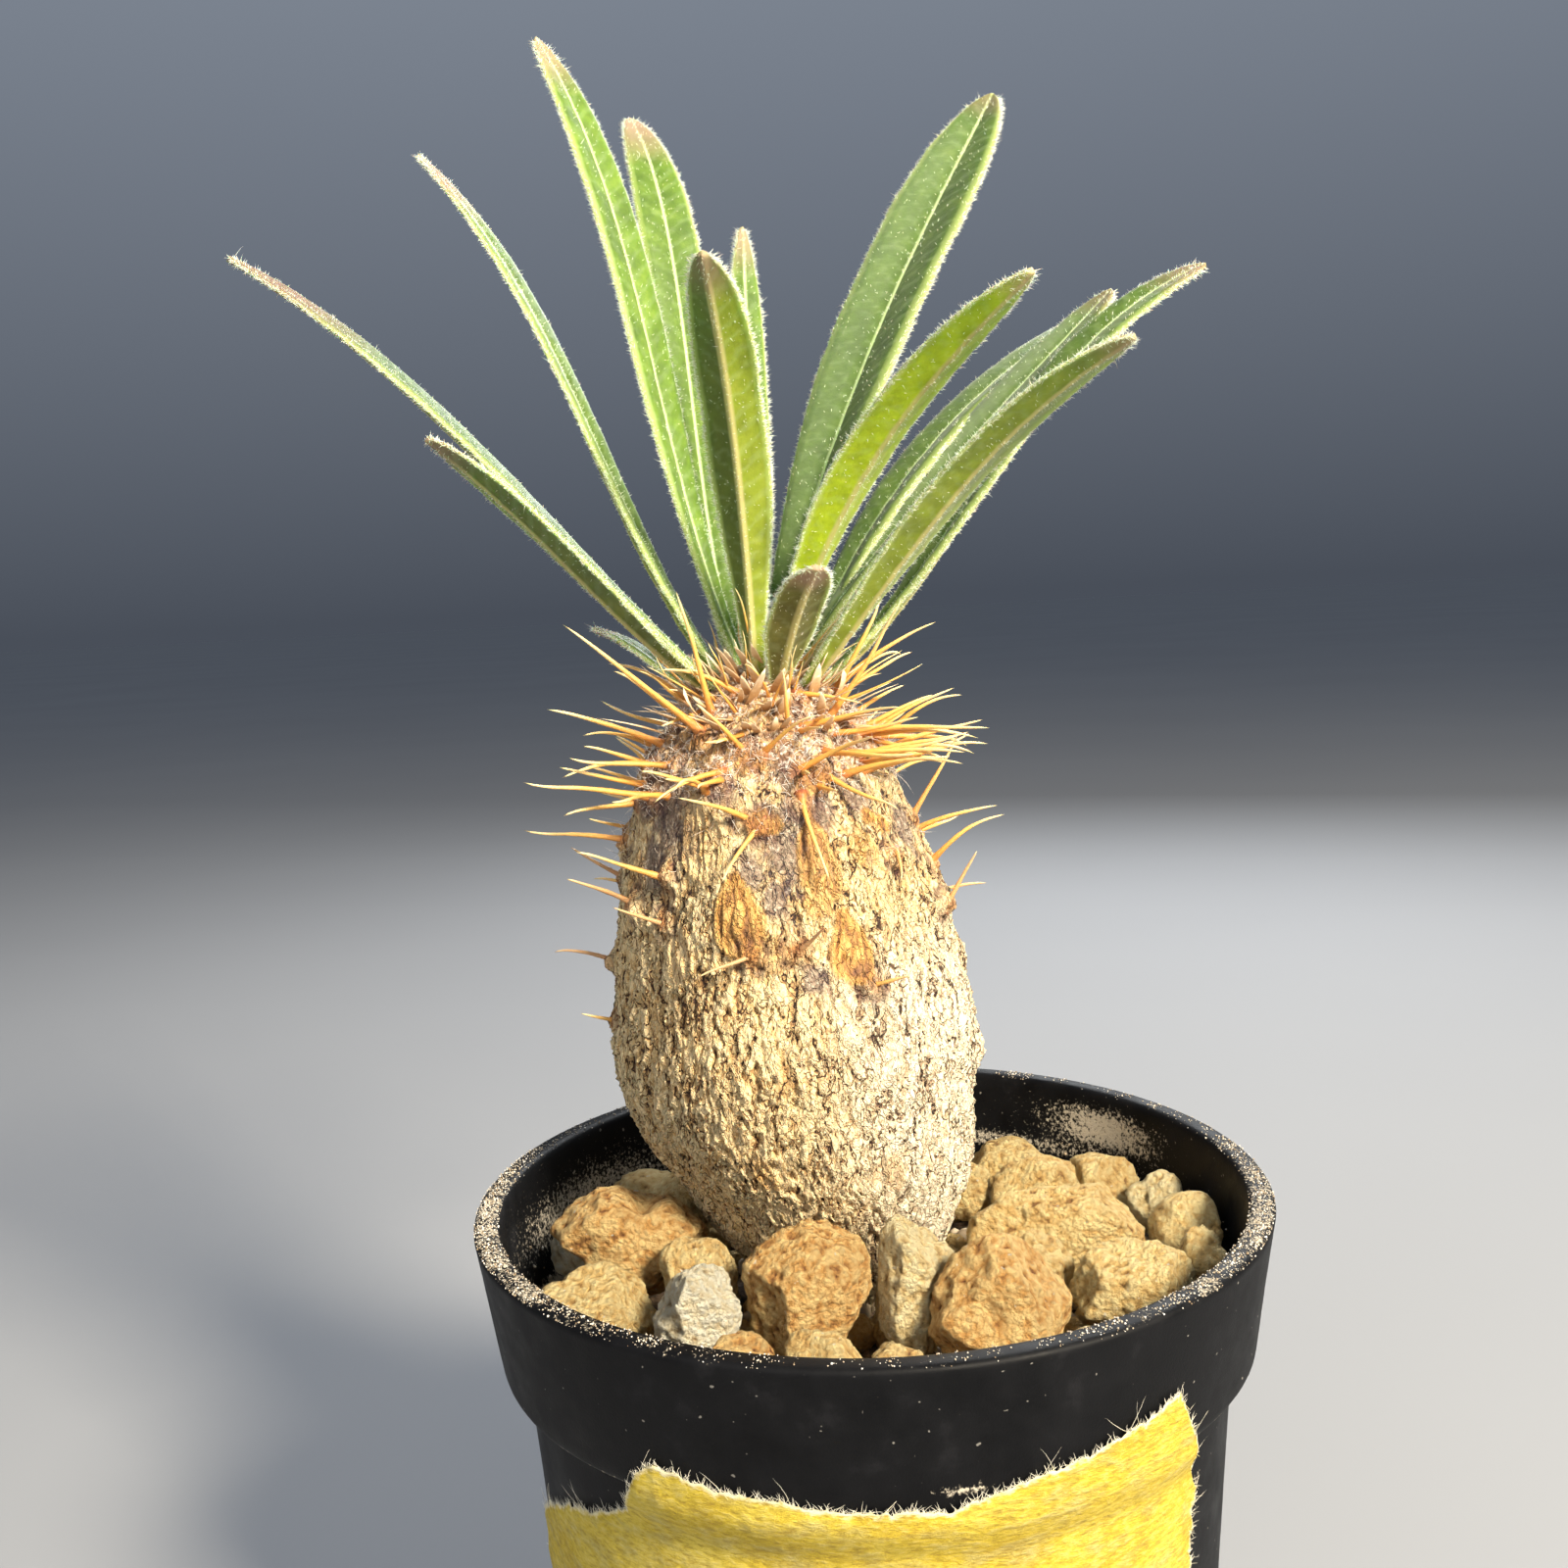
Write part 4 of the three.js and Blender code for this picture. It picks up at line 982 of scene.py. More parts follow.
front = np.linspace(-195, 15, 392, endpoint=False)
back = np.linspace(15, 165, 176, endpoint=False)
bearing = np.concatenate([front, back])[None, :]
z = np.concatenate([np.linspace(48, 60, 18, endpoint=False), np.linspace(60, 112, 148, endpoint=False),
                    np.linspace(112, 114, 7)])[:, None]
z = z + 0 * bearing
bearing = bearing + 0 * z
skin = stem_point(z, bearing)
cushion = np.zeros(z.shape)
hollow = np.zeros(z.shape)
for height, at, *_ in spine_rows:
    x, y = on_skin(z, bearing, at, height)
    far = np.sqrt(x ** 2 + (y * 0.9) ** 2)
    cushion = np.maximum(cushion, np.exp(-far ** 2 / 0.8))
    hollow = np.maximum(hollow, np.exp(-((far - 1.45) / 0.45) ** 2))
height, tone, grey, orange, grooves, inside = bark(skin, z, bearing)
wool = smooth((z - 102.0 + 2.4 * layered(skin * 0.5, 71, 2)) / 4) * (1 - 0.8 * inside)
# hollow: a ring round each spine cushion, sunk a little and painted dark as shade.
hollow = hollow * (1 - cushion) * smooth(0.6 + 1.6 * waves(skin * 0.9, 73))
height = height + 0.6 * cushion - 0.25 * hollow + 0.42 * wool * layered(skin * 1.2, 72, 3)
body = stem_point(z, bearing, height - 0.2)
points = np.concatenate([body.reshape(-1, 3), [[-2, 4.4, 48], [-8, 5.4, 114.1]]])
faces = tube(*z.shape)
# pale: painted light. The front right of the lower stem, which faces the warm key lamp, is painted paler
# and greyer.
pale = smooth((bearing + 92) / 40) * smooth((20 - bearing) / 40) * smooth((94 - z) / 12)
ruddy = smooth((-80 - bearing) / 30) * smooth((96 - z) / 14)
facts = {"tone": tone, "grey": grey, "orange": orange, "groove": grooves, "cushion": cushion,
         "hollow": hollow, "wool": wool, "pale": pale, "ruddy": ruddy}
facts = {k: np.concatenate([v.ravel(), [0, 0]]) for k, v in facts.items()}
print("bark relief from", round(float(height.min()), 2), "to", round(float(height.max()), 2), "mm")

# %% Nets of cracks for the finish
def warped(tree, stretch, scale, metres):
    """Object coordinates bent by noise, then squeezed along the stem."""
    place = node(tree, "ShaderNodeTexCoord").outputs["Object"]
    cloud = node(tree, "ShaderNodeTexNoise", {"Vector": place, "Scale": scale, "Detail": 3.0})
    bent = node(tree, "ShaderNodeVectorMath", {0: cloud.outputs[1], 1: (metres,) * 3, 2: place},
                operation="MULTIPLY_ADD").outputs[0]
    return node(tree, "ShaderNodeMapping", {"Vector": bent, "Scale": (1.0, 1.0, stretch)}).outputs[0]


def net(tree, place, scale, width):
    """A net of cracks: 1 on the borders between random cells and 0 inside them."""
    cells_ = node(tree, "ShaderNodeTexVoronoi", {"Vector": place, "Scale": scale},
                  feature="DISTANCE_TO_EDGE")
    return span(tree, cells_.outputs["Distance"], 0.0, width, 1.0, 0.0)


def winding(tree, place, scale, width):
    """Long winding lines: 1 where a noise passes its middle value, falling to 0 on both sides."""
    cloud = speckle(tree, scale, 2.0, 0.5, place)
    apart = maths(tree, "ABSOLUTE", maths(tree, "SUBTRACT", cloud, 0.5), 0.0)
    return span(tree, apart, 0.0, width, 1.0, 0.0)


print("lines for the finish: net and winding")

# %% The bark's finish
bark_finish, tree, shader = new_finish("papery bark", 0.85, {
    "Subsurface Weight": 0.04, "Subsurface Scale": 0.0006})
grain = speckle(tree, 1700.0, 6.0, 0.72)
cloud = speckle(tree, 70.0, 3.0, 0.5)
veins = speckle(tree, 1400.0, 5.0, 0.65, warped(tree, 0.13, 300.0, 0.003))
# Fissures and crazing are thin dark lines of painted shade in cracks too fine for the mesh; they also go
# into the relief.
fissures = winding(tree, warped(tree, 0.15, 380.0, 0.0036), 700.0, 0.03)
ridges = winding(tree, warped(tree, 0.17, 450.0, 0.0028), 850.0, 0.045)
crazing = net(tree, warped(tree, 0.22, 600.0, 0.0026), 1700.0, 0.13)
level = weighted(tree, fact(tree, "tone"), (grain, 0.38), (veins, 0.45), (ridges, 0.22),
                 (fissures, -0.62), (crazing, -0.2))
level = maths(tree, "SUBTRACT", level, 0.315)
colour = ramp(tree, level, [(0.02, (0.045, 0.022, 0.014)), (0.16, (0.16, 0.085, 0.042)),
                            (0.30, (0.42, 0.245, 0.095)), (0.50, (0.64, 0.44, 0.20)),
                            (0.82, (0.80, 0.64, 0.37))])
rust = ramp(tree, level, [(0.05, (0.08, 0.03, 0.014)), (0.22, (0.42, 0.21, 0.065)),
                          (0.42, (0.68, 0.43, 0.17)), (0.75, (0.82, 0.62, 0.33))])
# The paler, greyer bark colour laid on the lit side: painted light.
painted_highlight = ramp(tree, level, [(0.03, (0.07, 0.042, 0.03)), (0.22, (0.36, 0.25, 0.16)),
                            (0.42, (0.66, 0.54, 0.37)), (0.75, (0.82, 0.74, 0.58))])
ruddy = maths(tree, "MULTIPLY", fact(tree, "ruddy"), span(tree, cloud, 0.36, 0.62, 0.0, 0.6))
colour = blend(tree, ruddy, colour, rust)
purple = ramp(tree, grain, [(0.34, (0.05, 0.03, 0.036)), (0.50, (0.15, 0.105, 0.10)),
                            (0.58, (0.34, 0.27, 0.22)), (0.68, (0.72, 0.66, 0.58))])
rims = maths(tree, "MULTIPLY_ADD", veins, 0.7, maths(tree, "MULTIPLY", fact(tree, "groove"), 0.75))
scar = ramp(tree, rims, [(0.28, (0.17, 0.065, 0.02)), (0.46, (0.46, 0.215, 0.05)),
                         (0.72, (0.58, 0.30, 0.07)), (1.0, (0.68, 0.41, 0.13))])
crown = ramp(tree, speckle(tree, 360.0, 4.0, 0.65), [
    (0.37, (0.055, 0.022, 0.026)), (0.45, (0.26, 0.13, 0.085)), (0.52, (0.66, 0.43, 0.23)),
    (0.60, (0.70, 0.36, 0.10)), (0.68, (0.84, 0.75, 0.64))])
cushions = ramp(tree, grain, [(0.35, (0.16, 0.05, 0.025)), (0.65, (0.60, 0.25, 0.07))])
# Among these blends, pale lays painted light on the lit side and hollow lays painted shade round the
# cushions; the others are the bark's own colours.
for name, share, over in (("pale", 0.85, painted_highlight), ("grey", 0.8, purple), ("orange", 0.92, scar),
                          ("wool", 0.75, crown), ("hollow", 0.8, (0.085, 0.035, 0.04, 1)),
                          ("cushion", 0.85, cushions)):
    colour = blend(tree, maths(tree, "MULTIPLY", fact(tree, name), share), colour, over)
white = maths(tree, "MULTIPLY", span(tree, grain, 0.52, 0.62, 0.0, 0.8), fact(tree, "wool"))
colour = blend(tree, white, colour, (0.86, 0.81, 0.75, 1))
paint(tree, shader, colour)
height = weighted(tree, maths(tree, "MULTIPLY", veins, 0.65), (grain, 0.3), (ridges, 0.4),
                  (fissures, -0.7), (crazing, -0.2))
relief(tree, shader, height, 1.0, 0.0005)
stem = make_piece("stem", points, faces, bark_finish, "bark", **facts)
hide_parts("caudex")

# %% [markdown]
# ## Spines
#
# Spines grow in pairs from small cushions, orange at the foot and straw at the tip, and they dry a
# little crooked. Each one is a rod along a bent path with a knobbly radius. The paths of all spines are
# one array, so that one call makes them.

# %% Paths of the spines
EXTRA = 15, [(101.5, 109.5), (-190, 15), (4, 9), (-35, 35), (-8, 32)]
BRUSH = 14, [(102.8, 107.6), (-60, -2), (7, 11.5), (12, 40), (-8, 15)]
draw = np.random.default_rng(8)
for count, ranges in (EXTRA, BRUSH):
    drawn = np.stack([draw.uniform(low, high, count) for low, high in ranges], axis=1)
    spine_rows = np.concatenate([spine_rows, drawn])
height, at, length, swing, lift = spine_rows.T
up = np.radians(lift)
go = around(np.cos(up), np.radians(at + swing), np.sin(up))
foot = stem_point(height, at)
thick = 0.21 + 0.0085 * length
print("thick spines:", len(length))

# %% Thin bristles between the feet of the leaves
BRISTLES = 64
far = 2.2 + 5.6 * np.sqrt(draw.random(BRISTLES))
turn = draw.uniform(-np.pi, np.pi, BRISTLES)
thin_foot = crown_point(far, turn)
lean = np.radians(6 + 6 * far + draw.normal(0, 11, BRISTLES))
turn = turn + draw.normal(0, 0.35, BRISTLES)
thin_length = 3.2 + 6.0 * draw.random(BRISTLES) ** 1.3
foot = np.concatenate([foot, thin_foot])
go = np.concatenate([go, around(np.sin(lean), turn, np.cos(lean))])
length = np.concatenate([length, thin_length])
height = np.concatenate([height, thin_foot[:, 2]])
thick = np.concatenate([thick, 0.085 + 0.008 * thin_length])
print("spines and bristles:", len(length))

# %% Bend them and give them their thickness
side = unit(np.cross(go, [0.05, 0.02, 1.0]))
steps = 15
s = np.linspace(0, 1, steps)[None, :, None]
size = length[:, None, None]
bow = draw.normal(0, 0.045, size.shape) * side[:, None]
sag = (0.03 + draw.normal(0, 0.04, size.shape)) * np.array([0, 0, 1.0])
arch = 4 * s * (1 - s) * size * (bow + sag)
phase = draw.uniform(0, 6.3, (len(length), 1, 3))
crooked = 0.013 * size * s * (np.sin(6 * s + phase) - np.sin(phase))
hooked = np.maximum(0, s - 0.72) ** 2 * size * draw.normal(0, 0.35, (len(length), 1, 3))
paths = foot[:, None] + go[:, None] * (s * (size + 1.0) - 1.0)
paths = paths + arch + crooked + hooked
share = np.linspace(0, 1, steps)[None]
radii = thick[:, None] * (1.5 * np.exp(-share / 0.085) + (1 - share) ** 0.6 * 0.88 + 0.12)
radii = radii * (1 + 0.05 * draw.normal(0, 1, radii.shape))
points, faces, along, each = strands(paths, radii, 8)
old = np.repeat(np.clip(smooth((104 - height) / 14) * draw.random(len(height)) * 1.3, 0, 1), each)
spine_finish, tree, shader = new_finish("spine straw", 0.5, {
    "Subsurface Weight": 0.15, "Subsurface Scale": 0.0008})
grain = speckle(tree, 2600.0, 4.0, 0.6)
colour = ramp(tree, weighted(tree, fact(tree, "along"), (grain, 0.22)), [
    (0.1, (0.24, 0.06, 0.03)), (0.2, (0.50, 0.19, 0.045)), (0.36, (0.70, 0.34, 0.065)),
    (0.7, (0.76, 0.45, 0.115)), (1.0, (0.84, 0.66, 0.33))])
old_share = maths(tree, "MULTIPLY", fact(tree, "old"), 0.75)
paint(tree, shader, blend(tree, old_share, colour, (0.45, 0.27, 0.16, 1)))
relief(tree, shader, grain, 0.5, 0.0002)
make_piece("spines", points, faces, spine_finish, "spine", along=along, old=old)

# %% [markdown]
# ## Leaves
#
# A leaf is a long narrow blade, folded a little along a pale midrib, its margins rolled under. Its
# upper face is deep green and its under face dull and olive. The blade is a surface over its length and
# its cross-section, bent in its own upright plane. The mesh keeps where each point lies across and along
# the blade and which face it is on, so that midrib, margin and withered tip are painted in the finish.

# %% The blades: bearing, lean at foot, middle and tip, length, foot distance, foot height, width, twist
LEAVES = {
    "leaf_01": (184, 44, 48, 31, 61.5, 3.6, 110.8, 5.6, -11),
    "leaf_02": (208, 36, 46, 35, 36.3, 4.0, 110.7, 5.6, 6),
    "leaf_03": (173, 54, 68, 46, 59.6, 3.0, 111.4, 5.0, -6),
    "leaf_04": (152, 64, 78, 56, 67.8, 1.5, 111.9, 5.7, -12),
    "leaf_05": (114, 47, 78.5, 35, 70.2, 4.2, 110.6, 6.3, 0),
    "leaf_06": (264, 88, 70, 30, 42.4, 3.6, 111.0, 5.7, -6),
    "leaf_07": (84, 88, 91, 88, 42.6, 1.6, 112.2, 3.4, 40),
    "leaf_08": (38, 74, 60, 52, 67.8, 0.4, 112.0, 9.6, 28),
    "leaf_09": (318, 74, 46, 26, 46.6, 2.0, 111.6, 7.0, 0),
    "leaf_10": (18, 56, 45, 41, 51.9, 2.4, 111.6, 7.6, 18),
    "leaf_11": (6, 34, 53, 18, 56.8, 4.0, 110.5, 6.2, 30),
    "leaf_12": (326, 46, 43, 19, 45.9, 3.9, 110.4, 6.8, -6),
    "leaf_13": (33, 68, 43, 22, 57.5, 3.9, 110.6, 7.4, 0),
    "leaf_14": (292, 59, 45, 26, 17.3, 3.6, 110.6, 5.0, 0),
    "leaf_15": (152, 26, 34, 12, 17.0, 5.0, 109.6, 3.2, 10),
}
FINE = 240
FOLDS = {5: 0.62, 7: 0.50, 8: 0.45}
USUAL_FOLD = 0.30


def leaf_spine(leaf):
    """Middle line of a blade and its directions at even steps: the lean runs through three values
    as a parabola, and the line is its sum. Returns middle, along, side and face."""
    bearing, foot, middle, tip, length, away, height, _, twist = leaf
    s = np.linspace(0, 1, FINE + 1)
    lean = np.radians(foot * (1 - s) * (1 - 2 * s) + 4 * middle * s * (1 - s) + tip * s * (2 * s - 1))
    a = math.radians(bearing)
    out = np.array([math.cos(a), math.sin(a), 0.0])
    along = np.cos(lean)[:, None] * out + np.sin(lean)[:, None] * [0, 0, 1.0]
    step = along * (length / FINE)
    start = CROWN + away * out + [0, 0, height]
    line = start + np.concatenate([[[0, 0, 0]], np.cumsum(step[1:], axis=0)])
    flat = np.array([-out[1], out[0], 0.0])
    turn = np.radians(twist * s)[:, None]
    side = flat * np.cos(turn) + np.cross(along, flat) * np.sin(turn)
    side = side + along * (along @ flat)[:, None] * (1 - np.cos(turn))
    return line, along, side, np.cross(along, side)


def leaf_outline(s):
    """Width along the blade as a share of its widest: widening slowly, rounded at the tip."""
    end = np.maximum(0, (s - 0.7) / 0.3)
    return (0.3 + 0.7 * smooth(s / 0.52)) * np.maximum(0.004, 1 - end ** 2.2) ** 0.6


def leaf_skin(leaf, s, u, upper, seed=0, crinkle=0.0):
    """Point of a blade at shares along and across it, on its upper or under face. The fold lifts
    the margins, a roll turns them under, the midrib stands out below and sinks above."""
    line, _, side, face = leaf_spine(leaf)
    steps = np.linspace(0, 1, FINE + 1)
    at = [np.stack([np.interp(s, steps, v[:, k]) for k in range(3)], axis=-1)
          for v in (line, side, face)]
    length, width = leaf[4], leaf[7]
    half = width / 2 * leaf_outline(s)
    flat = np.stack([s * length, u * 3, 0 * s + seed * 9.7], axis=-1)
    half = half * (1 + 0.035 * waves(flat * [0.22, 0.5, 1], seed) + 0.015 * waves(flat, seed + 1))
    grown = smooth(s / 0.15) * (1 - 0.4 * s)
    fold = FOLDS.get(seed, USUAL_FOLD) * (np.abs(u) - 0.5) * half * grown
    roll = -0.16 * half * smooth((np.abs(u) - 0.72) / 0.28) ** 1.5 * grown
    rib = np.exp(-(u * half / 0.42) ** 2) * (1 - 0.75 * s)
    thin = 0.86 * (1 - 0.4 * s) * (1 - 0.42 * np.abs(u) ** 3)
    layer = np.where(upper > 0.5, thin / 2 - 0.13 * rib, -thin / 2 - 0.36 * rib)
    layer = layer * np.sqrt(np.clip(1.0001 - np.abs(u) ** 14, 0, 1))
    uneven = 0.07 * waves(flat * [0.5, 0.6, 1], seed + 2) * grown
    uneven = uneven + crinkle * waves(flat * [1.5, 0.5, 1], seed + 3) * (1 - rib)
    lift = (fold + roll + layer + uneven)[..., None]
    return at[0] + at[1] * (half * u)[..., None] + at[2] * lift


ACROSS = np.array([-1, -0.985, -0.93, -0.82, -0.64, -0.42, -0.24, -0.13, -0.06, 0, 0.06, 0.13, 0.24,
                   0.42, 0.64, 0.82, 0.93, 0.985, 1])
print("leaves:", len(LEAVES), "with", 2 * len(ACROSS) - 2, "points round each section")

# %% The leaves' tones: olive share, how brown the tip is, crinkle, how dark each leaf is painted as shade
LEAF_TONES = {
    "leaf_01": (0.35, 1.3, 0.02, 0.6), "leaf_02": (0.65, 0.6, 0.02, 0.55),
    "leaf_03": (0.35, 0.7, 0.02, 0.35), "leaf_04": (0.0, 0.45, 0.01, 0.0),
    "leaf_05": (0.15, 0.6, 0.01, 0.17), "leaf_06": (0.35, 0.5, 0.01, 0.3),
    "leaf_07": (0.2, 0.45, 0.02, 0.15), "leaf_08": (0.0, 0.15, 0.015, 0.5),
    "leaf_09": (0.0, 0.25, 0.03, 0.0), "leaf_10": (0.1, 0.3, 0.02, 0.5),
    "leaf_11": (0.1, 0.45, 0.02, 0.45), "leaf_12": (0.12, 0.35, 0.07, 0.42),
    "leaf_13": (0.2, 0.4, 0.02, 0.5), "leaf_14": (1.0, 1.0, 0.01, 0.2),
    "leaf_15": (1.0, 1.0, 0.08, 0.2),
}
# Painted shade: one half of these leaves is darkened where its fold turns away from the light.
SHADED_HALF = {"leaf_06": 0.42, "leaf_08": 0.12}
# Painted highlight: one half of these leaves is painted lighter and greyer, where the down catches the
# back light.
HIGHLIGHT_HALF = {"leaf_08": 0.18, "leaf_10": 0.3, "leaf_12": 0.28}
print("leaves with a darker half:", list(SHADED_HALF), "with a silvery half:", list(HIGHLIGHT_HALF))

# %% The leaf's finish
leaf_finish, tree, shader = new_finish("leaf", 0.5, {
    "Subsurface Weight": 0.38, "Subsurface Scale": 0.0022, "Subsurface Radius": (0.6, 1.0, 0.22),
    "Sheen Weight": 0.12, "Sheen Roughness": 0.45, "Sheen Tint": (0.9, 0.95, 0.85, 1),
    "Specular IOR Level": 0.3})
upper = fact(tree, "upper")
mottle = speckle(tree, 420.0, 5.0, 0.6)
top_green = ramp(tree, mottle, [(0.3, (0.07, 0.13, 0.014)), (0.55, (0.12, 0.21, 0.02)),
                                (0.75, (0.20, 0.30, 0.04))])
under_green = ramp(tree, mottle, [(0.3, (0.25, 0.32, 0.008)), (0.55, (0.36, 0.46, 0.012)),
                                  (0.75, (0.46, 0.55, 0.03))])
under_olive = ramp(tree, mottle, [(0.3, (0.085, 0.08, 0.014)), (0.55, (0.145, 0.14, 0.024)),
                                  (0.75, (0.23, 0.22, 0.05))])
under = blend(tree, fact(tree, "olive"), under_green, under_olive)
colour = blend(tree, upper, under, top_green)
streak = span(tree, fact(tree, "vein"), 0.5, 1.0, 0.0, 0.13)
edge = span(tree, fact(tree, "across"), 0.78, 1.0, 0.0, 0.8)
rib = span(tree, weighted(tree, fact(tree, "offset"), (upper, 0.22)), 0.46, 0.24, 0.0, 0.8)
rib_colour = blend(tree, upper, (0.47, 0.42, 0.18, 1), (0.62, 0.76, 0.40, 1))
tip = span(tree, maths(tree, "MULTIPLY_ADD", mottle, 0.3, fact(tree, "wither")), 0.5, 1.1)
tip_colour = blend(tree, fact(tree, "shade"), (0.38, 0.25, 0.19, 1), (0.11, 0.055, 0.045, 1))
# shade is painted shade: each leaf is darkened towards a deep green by its own amount, and its withered
# tip darkens with it.
for share, over in ((fact(tree, "shade"), (0.028, 0.05, 0.02, 1)),
                    (fact(tree, "painted_highlight"), (0.34, 0.41, 0.27, 1)), (streak, (0.42, 0.52, 0.32, 1)),
                    (edge, (0.46, 0.54, 0.20, 1)), (rib, rib_colour), (tip, tip_colour)):
    colour = blend(tree, share, colour, over)
paint(tree, shader, colour)
tree.links.new(span(tree, mottle, 0.0, 1.0, 0.42, 0.62), shader.inputs["Roughness"])
relief(tree, shader, speckle(tree, 1500.0, 5.0, 0.7), 0.35, 0.0002)

# %% Make the leaves
for number, (name, leaf) in enumerate(LEAVES.items()):
    olive, brown, crinkle, shade = LEAF_TONES[name]
    rows = max(40, int(leaf[4] / 0.42))
    s = 1 - (1 - np.linspace(0, 0.999, rows)) ** 1.15
    u = np.concatenate([ACROSS, ACROSS[::-1][1:-1]])[None, :] + 0 * s[:, None]
    above = np.concatenate([np.zeros(len(ACROSS)), np.ones(len(ACROSS) - 2)])[None, :] + 0 * u
    along = s[:, None] + 0 * u
    place = leaf_skin(leaf, along, u, above, number, crinkle)
    middles = [leaf_skin(leaf, np.array([v]), np.zeros(1), np.zeros(1), number)[0] for v in (0.0, 1.0)]
    points = np.concatenate([place.reshape(-1, 3), middles])
    half = leaf[7] / 2 * leaf_outline(along)
    soft_upper = np.where(np.abs(u) > 0.99, 0.5, above)
    begin = 0.92 - 0.32 * brown
    slant = along * leaf[4] / 1.7 - np.abs(u) * half / 2.4
    flat = np.stack([along * leaf[4] * 0.5, u * half, 0 * u + number], axis=-1)
    vein = 0.5 + 0.5 * np.sin(2 * np.pi * slant + 2.5 * waves(flat, 17))
    half_shade = SHADED_HALF.get(name, 0) * smooth(0.5 - 3 * u)
    half_highlight = HIGHLIGHT_HALF.get(name, 0) * smooth(3 * u) * smooth((1.02 - along) * 6)
    facts = {"painted_highlight": half_highlight, "upper": soft_upper, "across": np.abs(u),
             "offset": np.abs(u) * half, "olive": olive + 0 * u, "shade": shade + half_shade,
             "vein": vein * (np.abs(u) < 0.9),
             "wither": min(1.0, 0.6 + 0.5 * brown) * smooth((along - begin) / (1 - begin)) ** 1.3}
    facts = {k: np.concatenate([v.ravel(), v[0, :1], v[-1, :1]]) for k, v in facts.items()}
    slot = "leaf_under" if name in ("leaf_02", "leaf_06", "leaf_14") else "leaf"
    blade = make_piece("blade_" + name[-2:], points, tube(*u.shape), leaf_finish, slot, **facts)
    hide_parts(name)

# %% [markdown]
# ## Down and wool
#
# Fine white hairs stand along the margins of every leaf, and against the light they draw a bright
# fringe. The crown is felted with longer wool and holds dry scales. Particle hair would be lost in the
# export, so each hair is a real rod of three sides, as plain as can be, and a few meshes hold them all.

# %% Hairs of the leaves
HAIRS_PER_MM = 74
HAIR_RADIUS = 0.032
draw = np.random.default_rng(90)


def points_of_hair(feet, tips, radius):
    """Three-sided points: a small triangle square to the line from foot to tip, and the tip."""
    along = unit(tips - feet)
    side, over = square_to(along, along)
    turn = 2 * np.pi * np.arange(3)[:, None] / 3
    ring = feet[:, None] + radius * (side[:, None] * np.cos(turn) + over[:, None] * np.sin(turn))
    points = np.concatenate([ring, tips[:, None]], axis=1).reshape(-1, 3)
    corners = np.array([[0, 1, 3], [1, 2, 3], [2, 0, 3]])
    faces = (corners[None] + 4 * np.arange(len(feet))[:, None, None]).reshape(-1, 3)
    return points, faces, np.tile([0, 0, 0, 1.0], len(feet))


def leaf_hairs(number, name):
    """Feet and tips of the hairs of one leaf: most on its margins, some on its faces."""
    leaf = LEAVES[name]
    count = int(leaf[4] * HAIRS_PER_MM)
    s = 0.02 + 0.975 * draw.random(count) ** 0.92
    margin = draw.random(count) < 0.74
    sign = np.where(draw.random(count) < 0.5, 1.0, -1.0)
    on_rib = draw.random(count) < 0.35
    u = np.where(on_rib, draw.normal(0, 0.05, count), draw.uniform(-0.95, 0.95, count))
    u = np.where(margin, sign * (1 - 0.09 * draw.random(count) ** 1.5), u)
    above = (draw.random(count) < 0.5).astype(float)
    foot = leaf_skin(leaf, s, u, above, number)
    _, along, side, face = leaf_spine(leaf)
    k = np.clip((s * FINE).astype(int), 0, FINE)
    away = np.where(margin[:, None], side[k] * sign[:, None], face[k] * (2 * above - 1)[:, None])
    go = unit(away + 0.55 * along[k] * draw.random((count, 1)) + 0.45 * draw.normal(size=(count, 3)))
    long = 0.24 + 0.34 * draw.random(count) ** 1.5
    length = np.where(margin, long, 0.14 + 0.16 * draw.random(count))
    length = length * (1 + 0.5 * smooth((s - 0.9) / 0.1) + 0.7 * (draw.random(count) > 0.97))
    curl = np.cross(go, draw.normal(size=(count, 3))) * 0.25
    return foot - 0.04 * go, foot + length[:, None] * (go + curl)


down_finish, tree, shader = new_finish("leaf down", 0.6, {
    "Subsurface Weight": 0.3, "Subsurface Scale": 0.0004})
paint(tree, shader, ramp(tree, fact(tree, "along"), [(0.0, (0.62, 0.70, 0.40)),
                                                     (0.5, (0.90, 0.92, 0.78))]))
for part in (0, 1):
    hairs = [leaf_hairs(k, name) for k, name in enumerate(LEAVES) if k % 2 == part]
    feet, tips = (np.concatenate(ends) for ends in zip(*hairs))
    points, faces, along = points_of_hair(feet, tips, HAIR_RADIUS)
    make_piece(f"leaf_down_{part + 1}", points, [faces], down_finish, "leaf", along=along)

# %% Wool of the crown
count = 4000
tuft = draw.integers(0, len(spine_rows), count)
near_spine = draw.random(count) < 0.5
height = 102.0 + 11.8 * draw.random(count) ** 0.8
turn = draw.uniform(-180, 180, count)
height = np.where(near_spine, spine_rows[tuft, 0] + draw.normal(0, 0.7, count), height)
turn = np.where(near_spine, spine_rows[tuft, 1] + draw.normal(0, 4.5, count), turn)
kept = (height > 96) & (height < 113.9)
height, turn = height[kept], turn[kept]
count = len(height)
foot = stem_point(height, turn)
go = unit(0.5 * unit(around(1.0, np.radians(turn), 0.35)) + draw.normal(0, 0.8, (count, 3)))
curl = np.cross(go, draw.normal(size=(count, 3))) * 0.8
paths = arcs(foot, go, curl, 0.4 + 1.5 * draw.random(count) ** 2, -0.1, 4)
radii = 0.03 * (1 - 0.75 * np.linspace(0, 1, 4))[None] * np.ones((count, 1))
